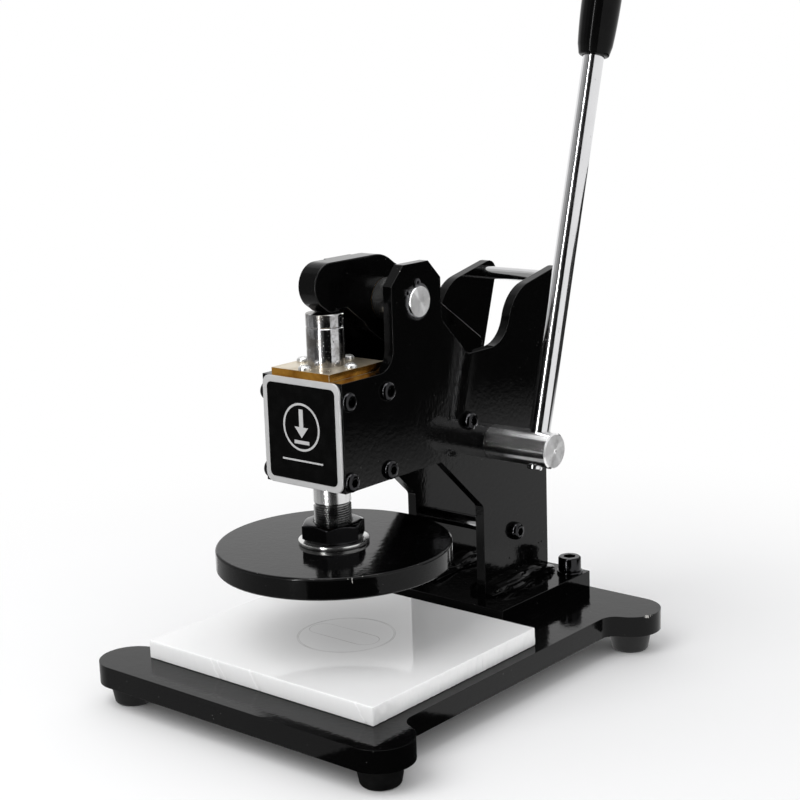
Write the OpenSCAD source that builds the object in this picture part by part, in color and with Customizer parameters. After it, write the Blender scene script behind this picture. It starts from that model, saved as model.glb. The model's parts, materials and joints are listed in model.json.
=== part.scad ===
// Hand-lever die cutting press: a lever turns a cam, the cam lifts the tail of a rocker,
// and the rocker's nose drives a sprung ram with a round press plate down over a cutting board.
// Millimetres. +X is the lever side, +Y the back, +Z up. The press stands on z = 0.

/* [Base] */
// Width of the base between its ears
base_waist = 205; // [170:1:230]
// Width over the ears
base_width = 252; // [240:1:300]
// Depth of the base, front to back
base_depth = 305; // [285:1:360]
// Thickness of the base
base_t = 14; // [10:0.5:20]
// Radius of each rounded ear
ear_r = 21; // [18:0.5:26]
// Radius of the hollow blend beside each ear
ear_blend_r = 12; // [6:0.5:18]

/* [Feet] */
// Height of a rubber foot
foot_h = 15; // [10:0.5:25]
// Diameter of a foot where it meets the base
foot_top_d = 29; // [27:0.5:34]
// Diameter of a foot where it meets the table
foot_low_d = 25; // [23:0.5:27]
// Diameter of the screw that holds a foot
foot_screw_d = 6; // [5:0.5:7]
// Diameter of the foot screw's head
foot_head_d = 12; // [10:0.5:13]
// Thickness of the foot screw's head
foot_head_t = 3.5; // [2.5:0.1:5]
// How far the foot screw enters the base
foot_screw_bite = 9; // [6:0.5:9.5]

/* [Cutting board] */
// Width of the board
board_w = 190; // [150:1:200]
// Depth of the board
board_d = 160; // [130:1:170]
// Thickness of the board
board_t = 12; // [8:0.5:20]
// Space between the board and the bracket behind it
board_gap = 11; // [8:0.5:14]

/* [Bracket] */
// Width of the bracket plate under the columns
bracket_w = 121.5; // [112:0.5:140]
// Thickness of the bracket plate
bracket_t = 13; // [11:0.5:18]
// Bracket plate in front of the columns
bracket_ahead = 18; // [16:0.5:26]
// Bracket plate behind the columns
bracket_behind = 11.5; // [11:0.5:20]
// Base left free behind the bracket plate
bracket_inset = 3.5; // [0:0.5:12]
// Thread diameter of the bracket's cap screws
cap_screw_d = 10; // [8:0.5:11]
// Diameter of a cap screw's head
cap_head_d = 16; // [14:0.5:18]
// Diameter of the washer under a cap screw
cap_washer_d = 18; // [17:0.5:20]
// Thickness of that washer
cap_washer_t = 2; // [1.5:0.1:3]
// Screw centre to the side edge of the bracket plate
cap_edge_x = 9.5; // [9:0.5:13]
// Screw centre to the front or rear edge of the bracket plate
cap_edge_y = 11; // [10:0.5:14]
// Thread diameter of the countersunk screws from below
under_screw_d = 8; // [6:0.5:9]
// How far a countersunk screw enters the bracket plate
under_screw_bite = 9; // [6:0.5:10]
// Leg of the weld along each column
weld_leg = 5.5; // [3:0.1:6]

/* [Side plates] */
// Thickness of a side plate
plate_t = 7; // [5:0.5:8]
// Clear width between the side plates
plate_gap = 52; // [52:1:64]
// Width of the columns, front to back
column_d = 73.5; // [66:0.5:90]
// Column rear edge to the lever shaft's axis
shaft_to_rear = 60; // [50:0.5:64]
// Height of the throat's corner above the base
throat_z = 76; // [66:1:84]
// Length of the throat's slope, measured front to back
throat_run = 43.5; // [34:0.5:48]
// Height where the rear edge starts to lean back
lean_z = 139; // [120:1:150]
// Lean of the rear edge, in degrees
rear_lean = 17; // [8:1:20]
// Top of the rear horns above the lever shaft
horn_rise = 112; // [106:0.5:120]
// Radius of the horn's rear corner
horn_corner_r = 8; // [6:0.5:10]
// Slope of the horn's top, in degrees
horn_slope = 12; // [8:1:16]
// Radius of the curve from the horn's top down to its neck
horn_r = 29; // [24:0.5:34]
// Bottom of the valley above the lever shaft
valley_rise = 64.5; // [58:0.5:68]
// Radius of the curve from the valley up to the horn
valley_r = 22; // [16:0.5:26]
// Length of the valley's front slope, front to back
valley_slope = 26.5; // [16:0.5:28]
// Horn's neck behind the lever shaft
horn_neck = 20.3; // [16:0.1:24]
// Radius of the outline's small corners
plate_corner_r = 5; // [3:0.5:6]
// Half width of the pivot ears
pivot_ear_half = 24.2; // [22:0.1:27]
// Corner cut of the pivot ears
pivot_ear_cut = 12; // [6:0.5:14]
// Radius of the corner in front of the pivot ears
pivot_ear_fillet = 13; // [8:0.5:15]

/* [Head] */
// Depth of the head block
head_d = 50; // [48:0.5:60]
// Height of the head block
head_h = 68.2; // [62:0.2:80]
// Ram axis to the front face of the head block
head_ahead = 23.3; // [23:0.1:26]
// Free ram between the press plate and the head block
neck_h = 41; // [36:0.5:60]
// Diameter of the spring chamber in the head block
chamber_d = 33; // [32.5:0.1:34]
// Height of the ram's lower bush
bush_h = 18; // [15:0.5:24]
// Wall of the ram's lower bush
bush_wall = 4; // [3:0.1:4]
// Diameter of the screw that keys the ram
guide_screw_d = 6; // [5:0.5:7]
// Depth of the keyway in the ram
keyway_depth = 3; // [2:0.1:4]
// Thickness of the brass guide plate
brass_t = 5; // [4:0.1:8]
// Gap from each side plate to the brass guide plate
brass_side_gap = 2; // [2:0.1:4]
// Overhang of the brass guide plate in front of the block
brass_lip = 1; // [0.4:0.1:1.2]
// Thread diameter of the brass plate's screws
brass_screw_d = 4; // [3:0.1:4]
// Radius of the circle of brass plate screws
brass_screw_r = 20; // [19.6:0.1:20]
// Diameter of the oil hole in the brass guide plate
oil_hole_d = 3; // [2:0.1:4]
// Ram axis to the oil hole
oil_hole_r = 22.9; // [22:0.1:24]
// How far a brass plate screw enters the head block
brass_screw_bite = 10; // [6:0.5:14]

/* [Nameplate] */
// Thickness of the nameplate
name_t = 1.5; // [1:0.1:3]
// Gap from the nameplate's side edge to the head's outer face
name_side_gap = 0.9; // [0.5:0.1:4]
// Corner radius of the nameplate
name_corner_r = 6; // [3:0.1:8]
// Width of the bare rim round the dark panel
name_rim = 4; // [2:0.1:5]
// Thickness of the dark panel
panel_t = 0.3; // [0.2:0.05:0.8]

/* [Bolts of the side plates] */
// Thread diameter of the button-head bolts
bolt_d = 6; // [5:0.5:6]
// Distance between the head block's bolts, front to back
bolt_pitch_y = 36.5; // [34:0.5:38]
// Distance between the head block's bolts, up and down
bolt_pitch_z = 50; // [44:0.5:52]
// Lowest head bolts above the underside of the head
bolt_low = 6.4; // [6:0.1:9]
// How far a bolt enters what it holds
bolt_bite = 12; // [8:0.5:13]
// Diameter of the round bars between the side plates
tie_bar_d = 10; // [8.5:0.5:11]
// Diameter of the bright bar between the horns
top_bar_d = 9; // [7:0.5:11]
// Middle bar in front of the lever shaft
mid_bar_ahead = 28; // [28:0.5:34]
// Middle bar above the lever shaft
mid_bar_rise = 20; // [16:0.5:22]
// Lower bar behind the lever shaft
low_bar_behind = 21; // [10:0.5:30]
// Lower bar above the base
low_bar_z = 50.5; // [40:0.5:54]
// Top bar below the top of the horns
top_bar_drop = 10.5; // [8:0.5:12]
// Top bar in front of the horn's rear corner
top_bar_ahead = 15.5; // [12:0.5:18]
// Depth of the socket that holds the top bar in a side plate
top_bar_socket = 3; // [2:0.5:4]

/* [Ram and press plate] */
// Diameter of the ram and of its thread
ram_d = 24; // [22:0.5:25]
// Ram above the brass guide plate, with its cap
ram_show = 32.6; // [29:0.1:44]
// Height of the ram's hardened cap
cap_h = 8.5; // [6:0.5:12]
// Travel of the ram
ram_travel = 12; // [8:0.5:12]
// Pitch of the ram's thread
thread_pitch = 1.5; // [1:0.5:3]
// Free thread above the lock nut
thread_show = 12; // [8:0.5:16]
// Width across the flats of the lock nut
nut_af = 36; // [34:0.5:41]
// Height of the lock nut
nut_h = 11.5; // [8:0.5:14]
// Diameter of the washer under the lock nut
washer_d = 45; // [43:0.5:50]
// Thickness of the washer under the lock nut
washer_t = 2.5; // [2:0.1:4]
// Diameter of the press plate
disc_d = 150; // [120:1:180]
// Thickness of the press plate
disc_t = 14; // [11:0.5:20]
// Space between the board and the press plate
daylight = 49.2; // [40:0.2:80]
// End of the ram above the press plate's face
ram_recess = 4; // [3.5:0.5:5]
// Diameter of the spring collar on the ram
collar_d = 31; // [30:0.1:32]
// Height of the spring collar on the ram
collar_h = 8; // [6:0.5:10]

/* [Return spring] */
// Wire diameter of the return spring
wire_d = 2.4; // [1.5:0.1:2.6]
// Number of turns of the return spring
spring_turns = 7; // [4:1:8]

/* [Rocker] */
// Thickness of the rocker
rocker_t = 14; // [10:0.5:20]
// Ram axis to the rocker's pivot
pivot_behind_ram = 49.5; // [48.5:0.5:56]
// Diameter of the pivot pin
pivot_d = 20; // [16:0.5:22]
// Pin beyond each side plate
pivot_out = 3; // [2.6:0.1:5]
// Wall of the rocker's bush
rocker_bush_wall = 3; // [2:0.1:4]
// Wall of the spacers on the pivot pin
pivot_spacer_wall = 3.4; // [2:0.1:5]
// Radius of the rocker's hub
rocker_hub_r = 24; // [21:0.5:26]
// Top of the front arm above the pivot
arm_rise = 28.9; // [26:0.1:34]
// Front of the arm ahead of the ram axis
arm_ahead = 15.2; // [13.5:0.1:18]
// Radius of the arm's rounded front
arm_front_r = 14.5; // [10:0.1:15]
// Radius of the bend in the rocker's back, above the pivot
arm_bend_r = 25; // [10:0.5:40]
// Radius of the nose that presses on the ram
nose_r = 8; // [7:0.1:9]
// Tail tip behind the pivot
tail_tip_y = 101; // [98:0.5:108]
// Tail tip below the pivot
tail_tip_z = 42; // [38:0.5:46]
// Radius of the tail tip's corner
tail_corner_r = 5; // [3:0.5:8]
// Tail nose behind the pivot
tail_nose_y = 83; // [80:0.5:86]
// Tail nose below the pivot
tail_nose_z = 72.5; // [70:0.5:73]
// Radius of the tail's nose
tail_nose_r = 12; // [11.5:0.1:13]

/* [Lever] */
// Lever shaft behind the pivot
shaft_behind_pivot = 77; // [76:0.5:80]
// Lever shaft below the pivot
shaft_below_pivot = 106.3; // [106:0.1:110]
// Diameter of the lever shaft
shaft_d = 24; // [20:0.5:26]
// Shaft beyond the right side plate
shaft_out = 49.5; // [36:0.5:60]
// Shaft beyond the left side plate
shaft_out_left = 2.5; // [1:0.5:6]
// Lever swing, in degrees
lever_swing = 90; // [70:1:90]
// Lean of the lever at rest, in degrees
lever_lean = 15.7; // [0:0.1:20]
// Width of the cam
cam_w = 20; // [14:1:26]
// Radius of the cam's hub
cam_hub_r = 19; // [18:0.5:20]
// Diameter of the pin through the cam
cam_pin_d = 6; // [4:0.5:7]
// Wall of the sleeves beside the cam
sleeve_wall = 3.5; // [2.5:0.1:5]
// Rod axis to the shaft's right end
rod_inset = 14.2; // [12:0.1:20]
// Diameter of the lever rod
rod_d = 14; // [12:0.5:16]
// Diameter of the rod's spigot through the shaft
spigot_d = 10; // [8:0.5:11]
// Spigot beyond the far side of the shaft
spigot_out = 2; // [1:0.1:4]
// Depth of the seat for the rod in the shaft
rod_seat = 3; // [2:0.1:4]
// Shaft axis to the lower end of the grip
rod_reach = 261; // [200:1:340]
// Length of the grip
grip_len = 105; // [80:1:130]
// Rod inside the grip
grip_hold = 70; // [40:1:74]
// Diameter of the grip's lower end
grip_low_d = 20.8; // [19:0.1:24]
// Largest diameter of the grip
grip_mid_d = 26.5; // [25:0.1:32]
// Diameter of the grip's rounded top
grip_top_d = 23; // [20:0.1:24]

/* [Fits] */
// Radial clearance of running and sliding fits
run_clear = 0.05; // [0.02:0.01:0.09]
// Radial clearance of seated parts
seat_clear = 0.02; // [0.01:0.01:0.05]
// Gap left at open contacts and stops
stop_gap = 0.3; // [0.2:0.05:0.5]
// Chamfer on turned edges
edge_cut = 1; // [0.4:0.1:1.2]

/* [Hidden] */
$fn = 64;
through = 1;

// Places front to back, from the front edge of the base
bracket_y1 = base_depth - bracket_inset;
column_y1 = bracket_y1 - bracket_behind;
column_y0 = column_y1 - column_d;
bracket_y0 = column_y0 - bracket_ahead;
bracket_d = bracket_y1 - bracket_y0;
shaft_y = column_y1 - shaft_to_rear;
pivot_y = shaft_y - shaft_behind_pivot;
ram_y = pivot_y - pivot_behind_ram;
head_y0 = ram_y - head_ahead;
head_y1 = head_y0 + head_d;
board_y1 = bracket_y0 - board_gap;
board_y0 = board_y1 - board_d;
ear_x = base_width / 2 - ear_r;

// Heights above the top face of the base
disc_z0 = board_t + daylight;
disc_z1 = disc_z0 + disc_t;
washer_z1 = disc_z1 + washer_t;
nut_z1 = washer_z1 + nut_h;
thread_z1 = nut_z1 + thread_show;
head_z0 = disc_z1 + neck_h;
head_z1 = head_z0 + head_h;
brass_z1 = head_z1 + brass_t;
ram_z0 = disc_z0 + ram_recess;
ram_z1 = brass_z1 + ram_show;
cap_z0 = ram_z1 - cap_h;
nose_rise = ram_travel / 2;
pivot_z = ram_z1 + stop_gap + nose_r - nose_rise;
shaft_z = pivot_z - shaft_below_pivot;
collar_z1 = head_z1 - stop_gap;
collar_z0 = collar_z1 - collar_h;
spring_z0 = head_z0 + bush_h;
spring_h = collar_z0 - spring_z0;

// Widths from the middle plane
plate_in = plate_gap / 2;
plate_out = plate_in + plate_t;
shaft_x1 = plate_out + shaft_out;
rod_x = shaft_x1 - rod_inset;

// Where the whole press stands: on the table, centred front to back with its lever at rest
grip_top_r = grip_top_d / 2;
lever_back = shaft_y + (rod_reach + grip_len - grip_top_r) * sin(lever_lean) + grip_top_r;
front_y = -max(base_depth, lever_back) / 2;
base_top = foot_h + base_t;

// Motion of the rocker over the lever's swing
rocker_swing = 2 * atan(nose_rise / pivot_behind_ram);
cam_steps = 36;
cam_over = 4;
cam_nudge = 0.1;

// Corners of a side plate: y from the base's front edge, z from its top face
horn_z = shaft_z + horn_rise;
valley_z = shaft_z + valley_rise;
ear_y0 = pivot_y - pivot_ear_half;
ear_y1 = pivot_y + pivot_ear_half;
ear_z = pivot_z + pivot_ear_half;
neck_y = shaft_y + horn_neck;
throat_top = [column_y0 - throat_run, head_z0];
throat_low = [column_y0, throat_z];
column_foot = [column_y0, bracket_t];
lean_start = [column_y1, lean_z];
horn_rear = [column_y1 + (horn_z - lean_z) * tan(rear_lean), horn_z];
valley_hub = [neck_y - valley_r, valley_z + valley_r];
horn_way = [cos(horn_slope), sin(horn_slope)];
horn_down = [sin(horn_slope), -cos(horn_slope)];
horn_from_hub = horn_rear + horn_r * horn_down - valley_hub;
horn_along = horn_from_hub * horn_way;
horn_top = horn_along - sqrt(pow(horn_along, 2) - horn_from_hub * horn_from_hub + pow(valley_r + horn_r, 2));
horn_hub = valley_hub + horn_from_hub - horn_top * horn_way;
neck_turn = atan2(horn_hub[1] - valley_hub[1], horn_hub[0] - valley_hub[0]);
slope_low = [ear_y1 + valley_slope, valley_z];
slope_high = [ear_y1, valley_z + valley_slope];
head_corner = [ear_y0, head_z1];

// Places of the button-head bolts, as [y, z] pairs
head_bolt_places = [
    for (dy = [-1, 1], up = [0, 1]) [ram_y + dy * bolt_pitch_y / 2, head_z0 + bolt_low + up * bolt_pitch_z]
];
mid_bar_place = [shaft_y - mid_bar_ahead, shaft_z + mid_bar_rise];
low_bar_place = [shaft_y + low_bar_behind, low_bar_z];
tie_bolt_places = [mid_bar_place, low_bar_place];
top_bar_z = horn_z - top_bar_drop;
top_bar_y = horn_rear[0] - top_bar_ahead;

// Screw heads and small parts
bolt_hole_d = seated(bolt_d);
bolt_head_d = 2.05 * bolt_d;
bolt_head_h = 0.55 * bolt_d;
tie_head_h = 0.85 * bolt_d;
bolt_head_flat = 0.27 * bolt_head_d;
bolt_head_dome = 0.47 * bolt_d;
hex_af = 0.75 * bolt_d;
hex_deep = 0.35 * bolt_d;
cap_head_h = cap_screw_d;
cap_hex_af = 0.8 * cap_screw_d;
brass_head_d = 2 * brass_screw_d;
brass_head_h = 0.75 * brass_screw_d;
brass_head_rim = 0.3 * brass_head_h;
cross_len = 0.66 * brass_head_d;
cross_w = brass_head_d / 8;
cross_deep = brass_head_h / 4;
under_hex_d = 0.7 * under_screw_d;
under_hex_deep = under_screw_d / 3;
bush_d = ram_d + 2 * (run_clear + bush_wall);
keyway_w = running(guide_screw_d);
guide_z = head_z0 + bush_h / 2;
rocker_bush_d = pivot_d + 2 * (run_clear + rocker_bush_wall);
clip_t = 1.2;
clip_groove = 0.8;
clip_wall = 2.6;
clip_ear_r = 2.6;
clip_hole_d = 2;
clip_gap = 30;
clip_open = 18;
clip_turn = 118;
thread_depth = 0.6 * thread_pitch;
cam_pin_turn = 110;
panel_corner_r = name_corner_r - 0.6 * name_rim;
spring_r = (ram_d + chamber_d) / 4;
spring_sides = 6;
spring_rings = 8;

// Underside of the rocker's front arm, and the bulge of the grip
heel_gap = 1.5;
heel_rise = 1.2;
chin_turn = 240;
nose_ahead = 250;
nose_behind = 300;
hub_front = 212;
grip_belly = 0.8;
grip_fullness = 0.9;

echo(spring_gap = spring_self_gap());

// Hole for a seated piece, and for one that runs or slides
function seated(d) = d + 2 * seat_clear;
function running(d) = d + 2 * run_clear;

// Turns a point of the front-to-back plane about the origin, lever way positive
function turned(p, a) = [p[0] * cos(a) - p[1] * sin(a), p[0] * sin(a) + p[1] * cos(a)];

// Points along an arc
function arc(c, r, a0, a1, n = 8) = [
    for (i = [0:n]) c + r * [cos(a0 + (a1 - a0) * i / n), sin(a0 + (a1 - a0) * i / n)]
];

// Points after the first one, which another arc already ends on
function after_first(points) = [for (i = [1:len(points) - 1]) points[i]];

function unit(v) = v / norm(v);

// Corner of an outline rounded with radius r, between its neighbours
function rounded(before, corner, after, r, n = 6) =
    let (u = unit(before - corner), v = unit(after - corner))
    let (half = acos(u * v) / 2, side = cross(u, v) > 0 ? -1 : 1)
    let (centre = corner + unit(u + v) * r / sin(half))
    let (a0 = atan2(u[1], u[0]) + 90 * side)
    arc(centre, r, a0, a0 + side * (180 - 2 * half), n);

// The tail's nose seen from the cam, at a given lever angle
function pitch_point(a) =
    let (tail = turned([tail_nose_y, -tail_nose_z], a * rocker_swing / lever_swing))
    turned(tail + [-shaft_behind_pivot, shaft_below_pivot], -a);

// The cam's edge under that nose
function cam_point(a) =
    let (along = unit(pitch_point(a + cam_nudge) - pitch_point(a - cam_nudge)))
    pitch_point(a) - (tail_nose_r + stop_gap) * [-along[1], along[0]];

// Centre line and surface of the return spring
function spring_centre(i) =
    let (a = 360 * i / spring_rings)
    let (z = wire_d / 2 + (spring_h - wire_d) * i / (spring_turns * spring_rings))
    [spring_r * cos(a), spring_r * sin(a), z];
function spring_self_gap() = min([
    for (i = [0:spring_rings]) norm(spring_centre(i + spring_rings) - spring_centre(i)) - wire_d
]);

// Puts a shape drawn from the base's front edge and top face in its place
module seat() {
    translate([0, front_y, base_top]) children();
}

// A flat shape drawn front-to-back and up, given a thickness from x0 to x1
module slab(x0, x1) {
    translate([x0, 0, 0]) rotate([90, 0, 90]) linear_extrude(x1 - x0) children();
}

// A round bar along X
module bar_x(x0, x1, y, z, d) {
    translate([x0, y, z]) rotate([0, 90, 0]) cylinder(d = d, h = x1 - x0);
}

// A turned piece along Z with both ends chamfered
module turned_bar(d, h, cut) {
    rotate_extrude() polygon([
        [0, 0], [d / 2 - cut, 0], [d / 2, cut], [d / 2, h - cut], [d / 2 - cut, h], [0, h]
    ]);
}

// A flat ring along Z
module ring(d_out, d_in, h) {
    difference() {
        cylinder(d = d_out, h = h);
        translate([0, 0, -through]) cylinder(d = d_in, h = h + 2 * through);
    }
}

// Two circles joined by their outer tangents
module link(c1, r1, c2, r2) {
    way = atan2(c2[1] - c1[1], c2[0] - c1[0]);
    off = acos((r1 - r2) / norm(c2 - c1));
    translate(c1) circle(r1);
    translate(c2) circle(r2);
    polygon([
        c1 + r1 * [cos(way + off), sin(way + off)],
        c1 + r1 * [cos(way - off), sin(way - off)],
        c2 + r2 * [cos(way - off), sin(way - off)],
        c2 + r2 * [cos(way + off), sin(way + off)]
    ]);
}

// A rectangle with round corners
module round_rect(w, h, r) {
    translate([-w / 2 + r, -h / 2]) square([w - 2 * r, h]);
    translate([-w / 2, -h / 2 + r]) square([w, h - 2 * r]);
    for (sx = [-1, 1], sy = [-1, 1]) {
        translate([sx * (w / 2 - r), sy * (h / 2 - r)]) circle(r);
    }
}

// One ear of the base with its hollow blend, at the front right corner
module base_ear() {
    blend_x = base_waist / 2 + ear_blend_r;
    rise = sqrt(pow(ear_r + ear_blend_r, 2) - pow(blend_x - ear_x, 2));
    centre = [blend_x, ear_r + rise];
    touch = [ear_x, ear_r] + unit(centre - [ear_x, ear_r]) * ear_r;
    translate([ear_x, ear_r]) circle(ear_r);
    square([ear_x, 2 * ear_r]);
    difference() {
        polygon([[0, ear_r], [ear_x, ear_r], touch, centre, [0, ear_r + rise]]);
        translate(centre) circle(ear_blend_r);
    }
}

module base_outline() {
    translate([-base_waist / 2, 0]) square([base_waist, base_depth]);
    for (side = [0, 1], end = [0, 1]) {
        mirror([side, 0]) translate([0, end * base_depth]) mirror([0, end]) base_ear();
    }
}

// Places of the feet, and of the two kinds of bracket screw
module at_foot(side, end) {
    translate([side * ear_x, end > 0 ? base_depth - ear_r : ear_r, 0]) children();
}

module at_cap_screws() {
    for (side = [-1, 1]) {
        translate([side * (bracket_w / 2 - cap_edge_x), bracket_y1 - cap_edge_y, 0]) children();
    }
}

module at_under_screws() {
    for (side = [-1, 1]) {
        translate([side * (bracket_w / 2 - cap_edge_x), bracket_y0 + cap_edge_y, 0]) children();
    }
}

module base_plate() {
    color([0.06, 0.06, 0.065]) seat() difference() {
        translate([0, 0, -base_t]) linear_extrude(base_t) base_outline();
        for (side = [-1, 1], end = [0, 1]) {
            at_foot(side, end) translate([0, 0, -base_t - through])
                cylinder(d = seated(foot_screw_d), h = foot_screw_bite + through + seat_clear);
        }
        at_cap_screws() translate([0, 0, -base_t - through])
            cylinder(d = seated(cap_screw_d), h = base_t + 2 * through);
        at_under_screws() under_screw(seat_clear, through);
    }
}

// A countersunk screw from below the base, with room round it for its hole
module under_screw(room, below) {
    head_r = under_screw_d;
    r = under_screw_d / 2;
    rotate_extrude() polygon([
        [0, -base_t - below], [head_r + room, -base_t - below], [head_r + room, -base_t],
        [r + room, -base_t + head_r - r], [r + room, under_screw_bite + room],
        [0, under_screw_bite + room]
    ]);
}

module foot(side, end) {
    color([0.05, 0.05, 0.05]) seat() at_foot(side, end) translate([0, 0, -base_top]) difference() {
        rotate_extrude() polygon(concat(
            [[0, 0], [foot_low_d / 2 - 2 * edge_cut, 0]],
            arc([foot_low_d / 2 - 2 * edge_cut, 2 * edge_cut], 2 * edge_cut, -90, -10, 5),
            [[foot_top_d / 2, foot_h], [0, foot_h]]
        ));
        translate([0, 0, -through])
            cylinder(d = seated(foot_screw_d), h = foot_h + 2 * through);
        translate([0, 0, -through])
            cylinder(d = seated(foot_head_d), h = through + foot_h / 2);
    }
}

module foot_front_left() foot(-1, 0);
module foot_front_right() foot(1, 0);
module foot_rear_left() foot(-1, 1);
module foot_rear_right() foot(1, 1);

module foot_screws() {
    color([0.55, 0.55, 0.56]) seat() for (side = [-1, 1], end = [0, 1]) {
        at_foot(side, end) translate([0, 0, -base_top]) difference() {
            union() {
                translate([0, 0, foot_h / 2 - foot_head_t]) cylinder(d = foot_head_d, h = foot_head_t);
                translate([0, 0, foot_h / 2 - foot_head_t])
                    cylinder(d = foot_screw_d, h = foot_h / 2 + foot_head_t + foot_screw_bite);
            }
            translate([0, 0, foot_h / 2 - foot_head_t - through])
                cylinder(d = foot_screw_d, h = through + foot_head_t / 2, $fn = 6);
        }
    }
}

module bracket_plate() {
    color([0.06, 0.06, 0.065]) seat() difference() {
        translate([-bracket_w / 2, bracket_y0, 0]) cube([bracket_w, bracket_d, bracket_t]);
        at_cap_screws() translate([0, 0, -through])
            cylinder(d = seated(cap_screw_d), h = bracket_t + 2 * through);
        at_under_screws() under_screw(seat_clear, 0);
    }
}

module bracket_screws() {
    color([0.05, 0.05, 0.05]) seat() at_cap_screws() difference() {
        union() {
            translate([0, 0, bracket_t + cap_washer_t]) turned_bar(cap_head_d, cap_head_h, edge_cut / 2);
            translate([0, 0, -base_t])
                cylinder(d = cap_screw_d, h = base_t + bracket_t + cap_washer_t + through);
        }
        translate([0, 0, bracket_t + cap_washer_t + cap_head_h / 2])
            cylinder(d = cap_hex_af / cos(30), h = cap_head_h, $fn = 6);
    }
}

module bracket_washers() {
    color([0.10, 0.10, 0.10]) seat() at_cap_screws() translate([0, 0, bracket_t])
        ring(cap_washer_d, seated(cap_screw_d), cap_washer_t);
}

module bracket_under_screws() {
    color([0.45, 0.45, 0.46]) seat() at_under_screws() difference() {
        under_screw(0, 0);
        translate([0, 0, -base_t - through])
            cylinder(d = under_hex_d, h = through + under_hex_deep, $fn = 6);
    }
}

module side_outline() {
    polygon(concat(
        [[head_y0, head_z0]],
        rounded([head_y0, head_z0], throat_top, throat_low, plate_corner_r),
        rounded(throat_top, throat_low, column_foot, plate_corner_r),
        [column_foot, [column_y1, bracket_t], lean_start],
        rounded(lean_start, horn_rear, horn_rear - horn_way, horn_corner_r),
        arc(horn_hub, horn_r, 90 + horn_slope, 180 + neck_turn, 10),
        after_first(arc(valley_hub, valley_r, neck_turn, -90, 10)),
        rounded([neck_y, valley_z], slope_low, slope_high, plate_corner_r),
        rounded(slope_low, slope_high, [ear_y1, ear_z], plate_corner_r),
        [[ear_y1, ear_z - pivot_ear_cut], [ear_y1 - pivot_ear_cut, ear_z]],
        [[ear_y0 + pivot_ear_cut, ear_z], [ear_y0, ear_z - pivot_ear_cut]],
        rounded([ear_y0, ear_z], head_corner, [head_y0, head_z1], pivot_ear_fillet),
        [[head_y0, head_z1]]
    ));
}

module side_plate(side) {
    color([0.06, 0.06, 0.065]) seat() mirror([side > 0 ? 0 : 1, 0, 0]) difference() {
        slab(plate_in, plate_out) side_outline();
        for (p = concat(head_bolt_places, tie_bolt_places)) {
            bar_x(plate_in - through, plate_out + through, p[0], p[1], bolt_hole_d);
        }
        bar_x(plate_in - through, plate_out + through, pivot_y, pivot_z, seated(pivot_d));
        bar_x(plate_in - through, plate_out + through, shaft_y, shaft_z, running(shaft_d));
        bar_x(plate_in - through, plate_in + top_bar_socket, top_bar_y, top_bar_z, seated(top_bar_d));
    }
}

module side_plate_left() side_plate(-1);
module side_plate_right() side_plate(1);

module weld_beads() {
    color([0.07, 0.07, 0.075]) seat() for (side = [0, 1]) mirror([side, 0, 0]) {
        for (face = [0, 1]) {
            translate([face * plate_t + plate_in, column_y1, bracket_t]) rotate([90, 0, 0])
                linear_extrude(column_d)
                    polygon([[0, 0], [(face > 0 ? 1 : -1) * weld_leg, 0], [0, weld_leg]]);
        }
    }
}

module head_block() {
    color([0.07, 0.07, 0.075]) seat() difference() {
        translate([-plate_in, head_y0, head_z0]) cube([plate_gap, head_d, head_h]);
        translate([0, ram_y, head_z0 - through])
            cylinder(d = seated(bush_d), h = bush_h + 2 * through);
        translate([0, ram_y, spring_z0]) cylinder(d = chamber_d, h = head_z1 - spring_z0 + through);
        translate([0, ram_y, 0]) brass_screw_holes();
        translate([0, head_y1 + through, guide_z]) rotate([90, 0, 0])
            cylinder(d = seated(guide_screw_d), h = head_y1 - ram_y + through);
        for (p = head_bolt_places, side = [0, 1]) mirror([side, 0, 0]) {
            bar_x(plate_in - bolt_bite - seat_clear, plate_in + through, p[0], p[1], bolt_hole_d);
        }
    }
}

// A button-head bolt along X from the outer face of the right side plate
module button_bolt(y, z, rise) {
    translate([plate_out, y, z]) rotate([0, 90, 0]) difference() {
        union() {
            rotate_extrude() polygon(concat(
                [[0, 0], [bolt_head_d / 2, 0]],
                [for (a = [0:15:90]) [
                    bolt_head_flat + (bolt_head_d / 2 - bolt_head_flat) * cos(a),
                    rise - bolt_head_dome * (1 - sin(a))
                ]],
                [[0, rise]]
            ));
            translate([0, 0, -plate_t - bolt_bite]) cylinder(d = bolt_d, h = plate_t + bolt_bite + rise / 3);
        }
        translate([0, 0, rise - hex_deep])
            cylinder(d = hex_af / cos(30), h = hex_deep + through, $fn = 6);
    }
}

module head_bolts() {
    color([0.05, 0.05, 0.05]) seat() for (p = head_bolt_places, side = [0, 1]) {
        mirror([side, 0, 0]) button_bolt(p[0], p[1], bolt_head_h);
    }
}

module tie_bolts() {
    color([0.05, 0.05, 0.05]) seat() for (p = tie_bolt_places, side = [0, 1]) {
        mirror([side, 0, 0]) button_bolt(p[0], p[1], tie_head_h);
    }
}

// A bar between the side plates with a tapped hole in each end
module tie_bar(place) {
    difference() {
        bar_x(-plate_in, plate_in, place[0], place[1], tie_bar_d);
        for (side = [0, 1]) mirror([side, 0, 0]) {
            bar_x(plate_in - bolt_bite - seat_clear, plate_in + through, place[0], place[1], bolt_hole_d);
        }
    }
}

module mid_tie_bar() {
    color([0.07, 0.07, 0.07]) seat() tie_bar(mid_bar_place);
}

module lower_tie_bar() {
    color([0.07, 0.07, 0.07]) seat() tie_bar(low_bar_place);
}

module top_cross_bar() {
    reach = plate_in + top_bar_socket;
    color([0.78, 0.78, 0.80]) seat() bar_x(-reach, reach, top_bar_y, top_bar_z, top_bar_d);
}

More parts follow.
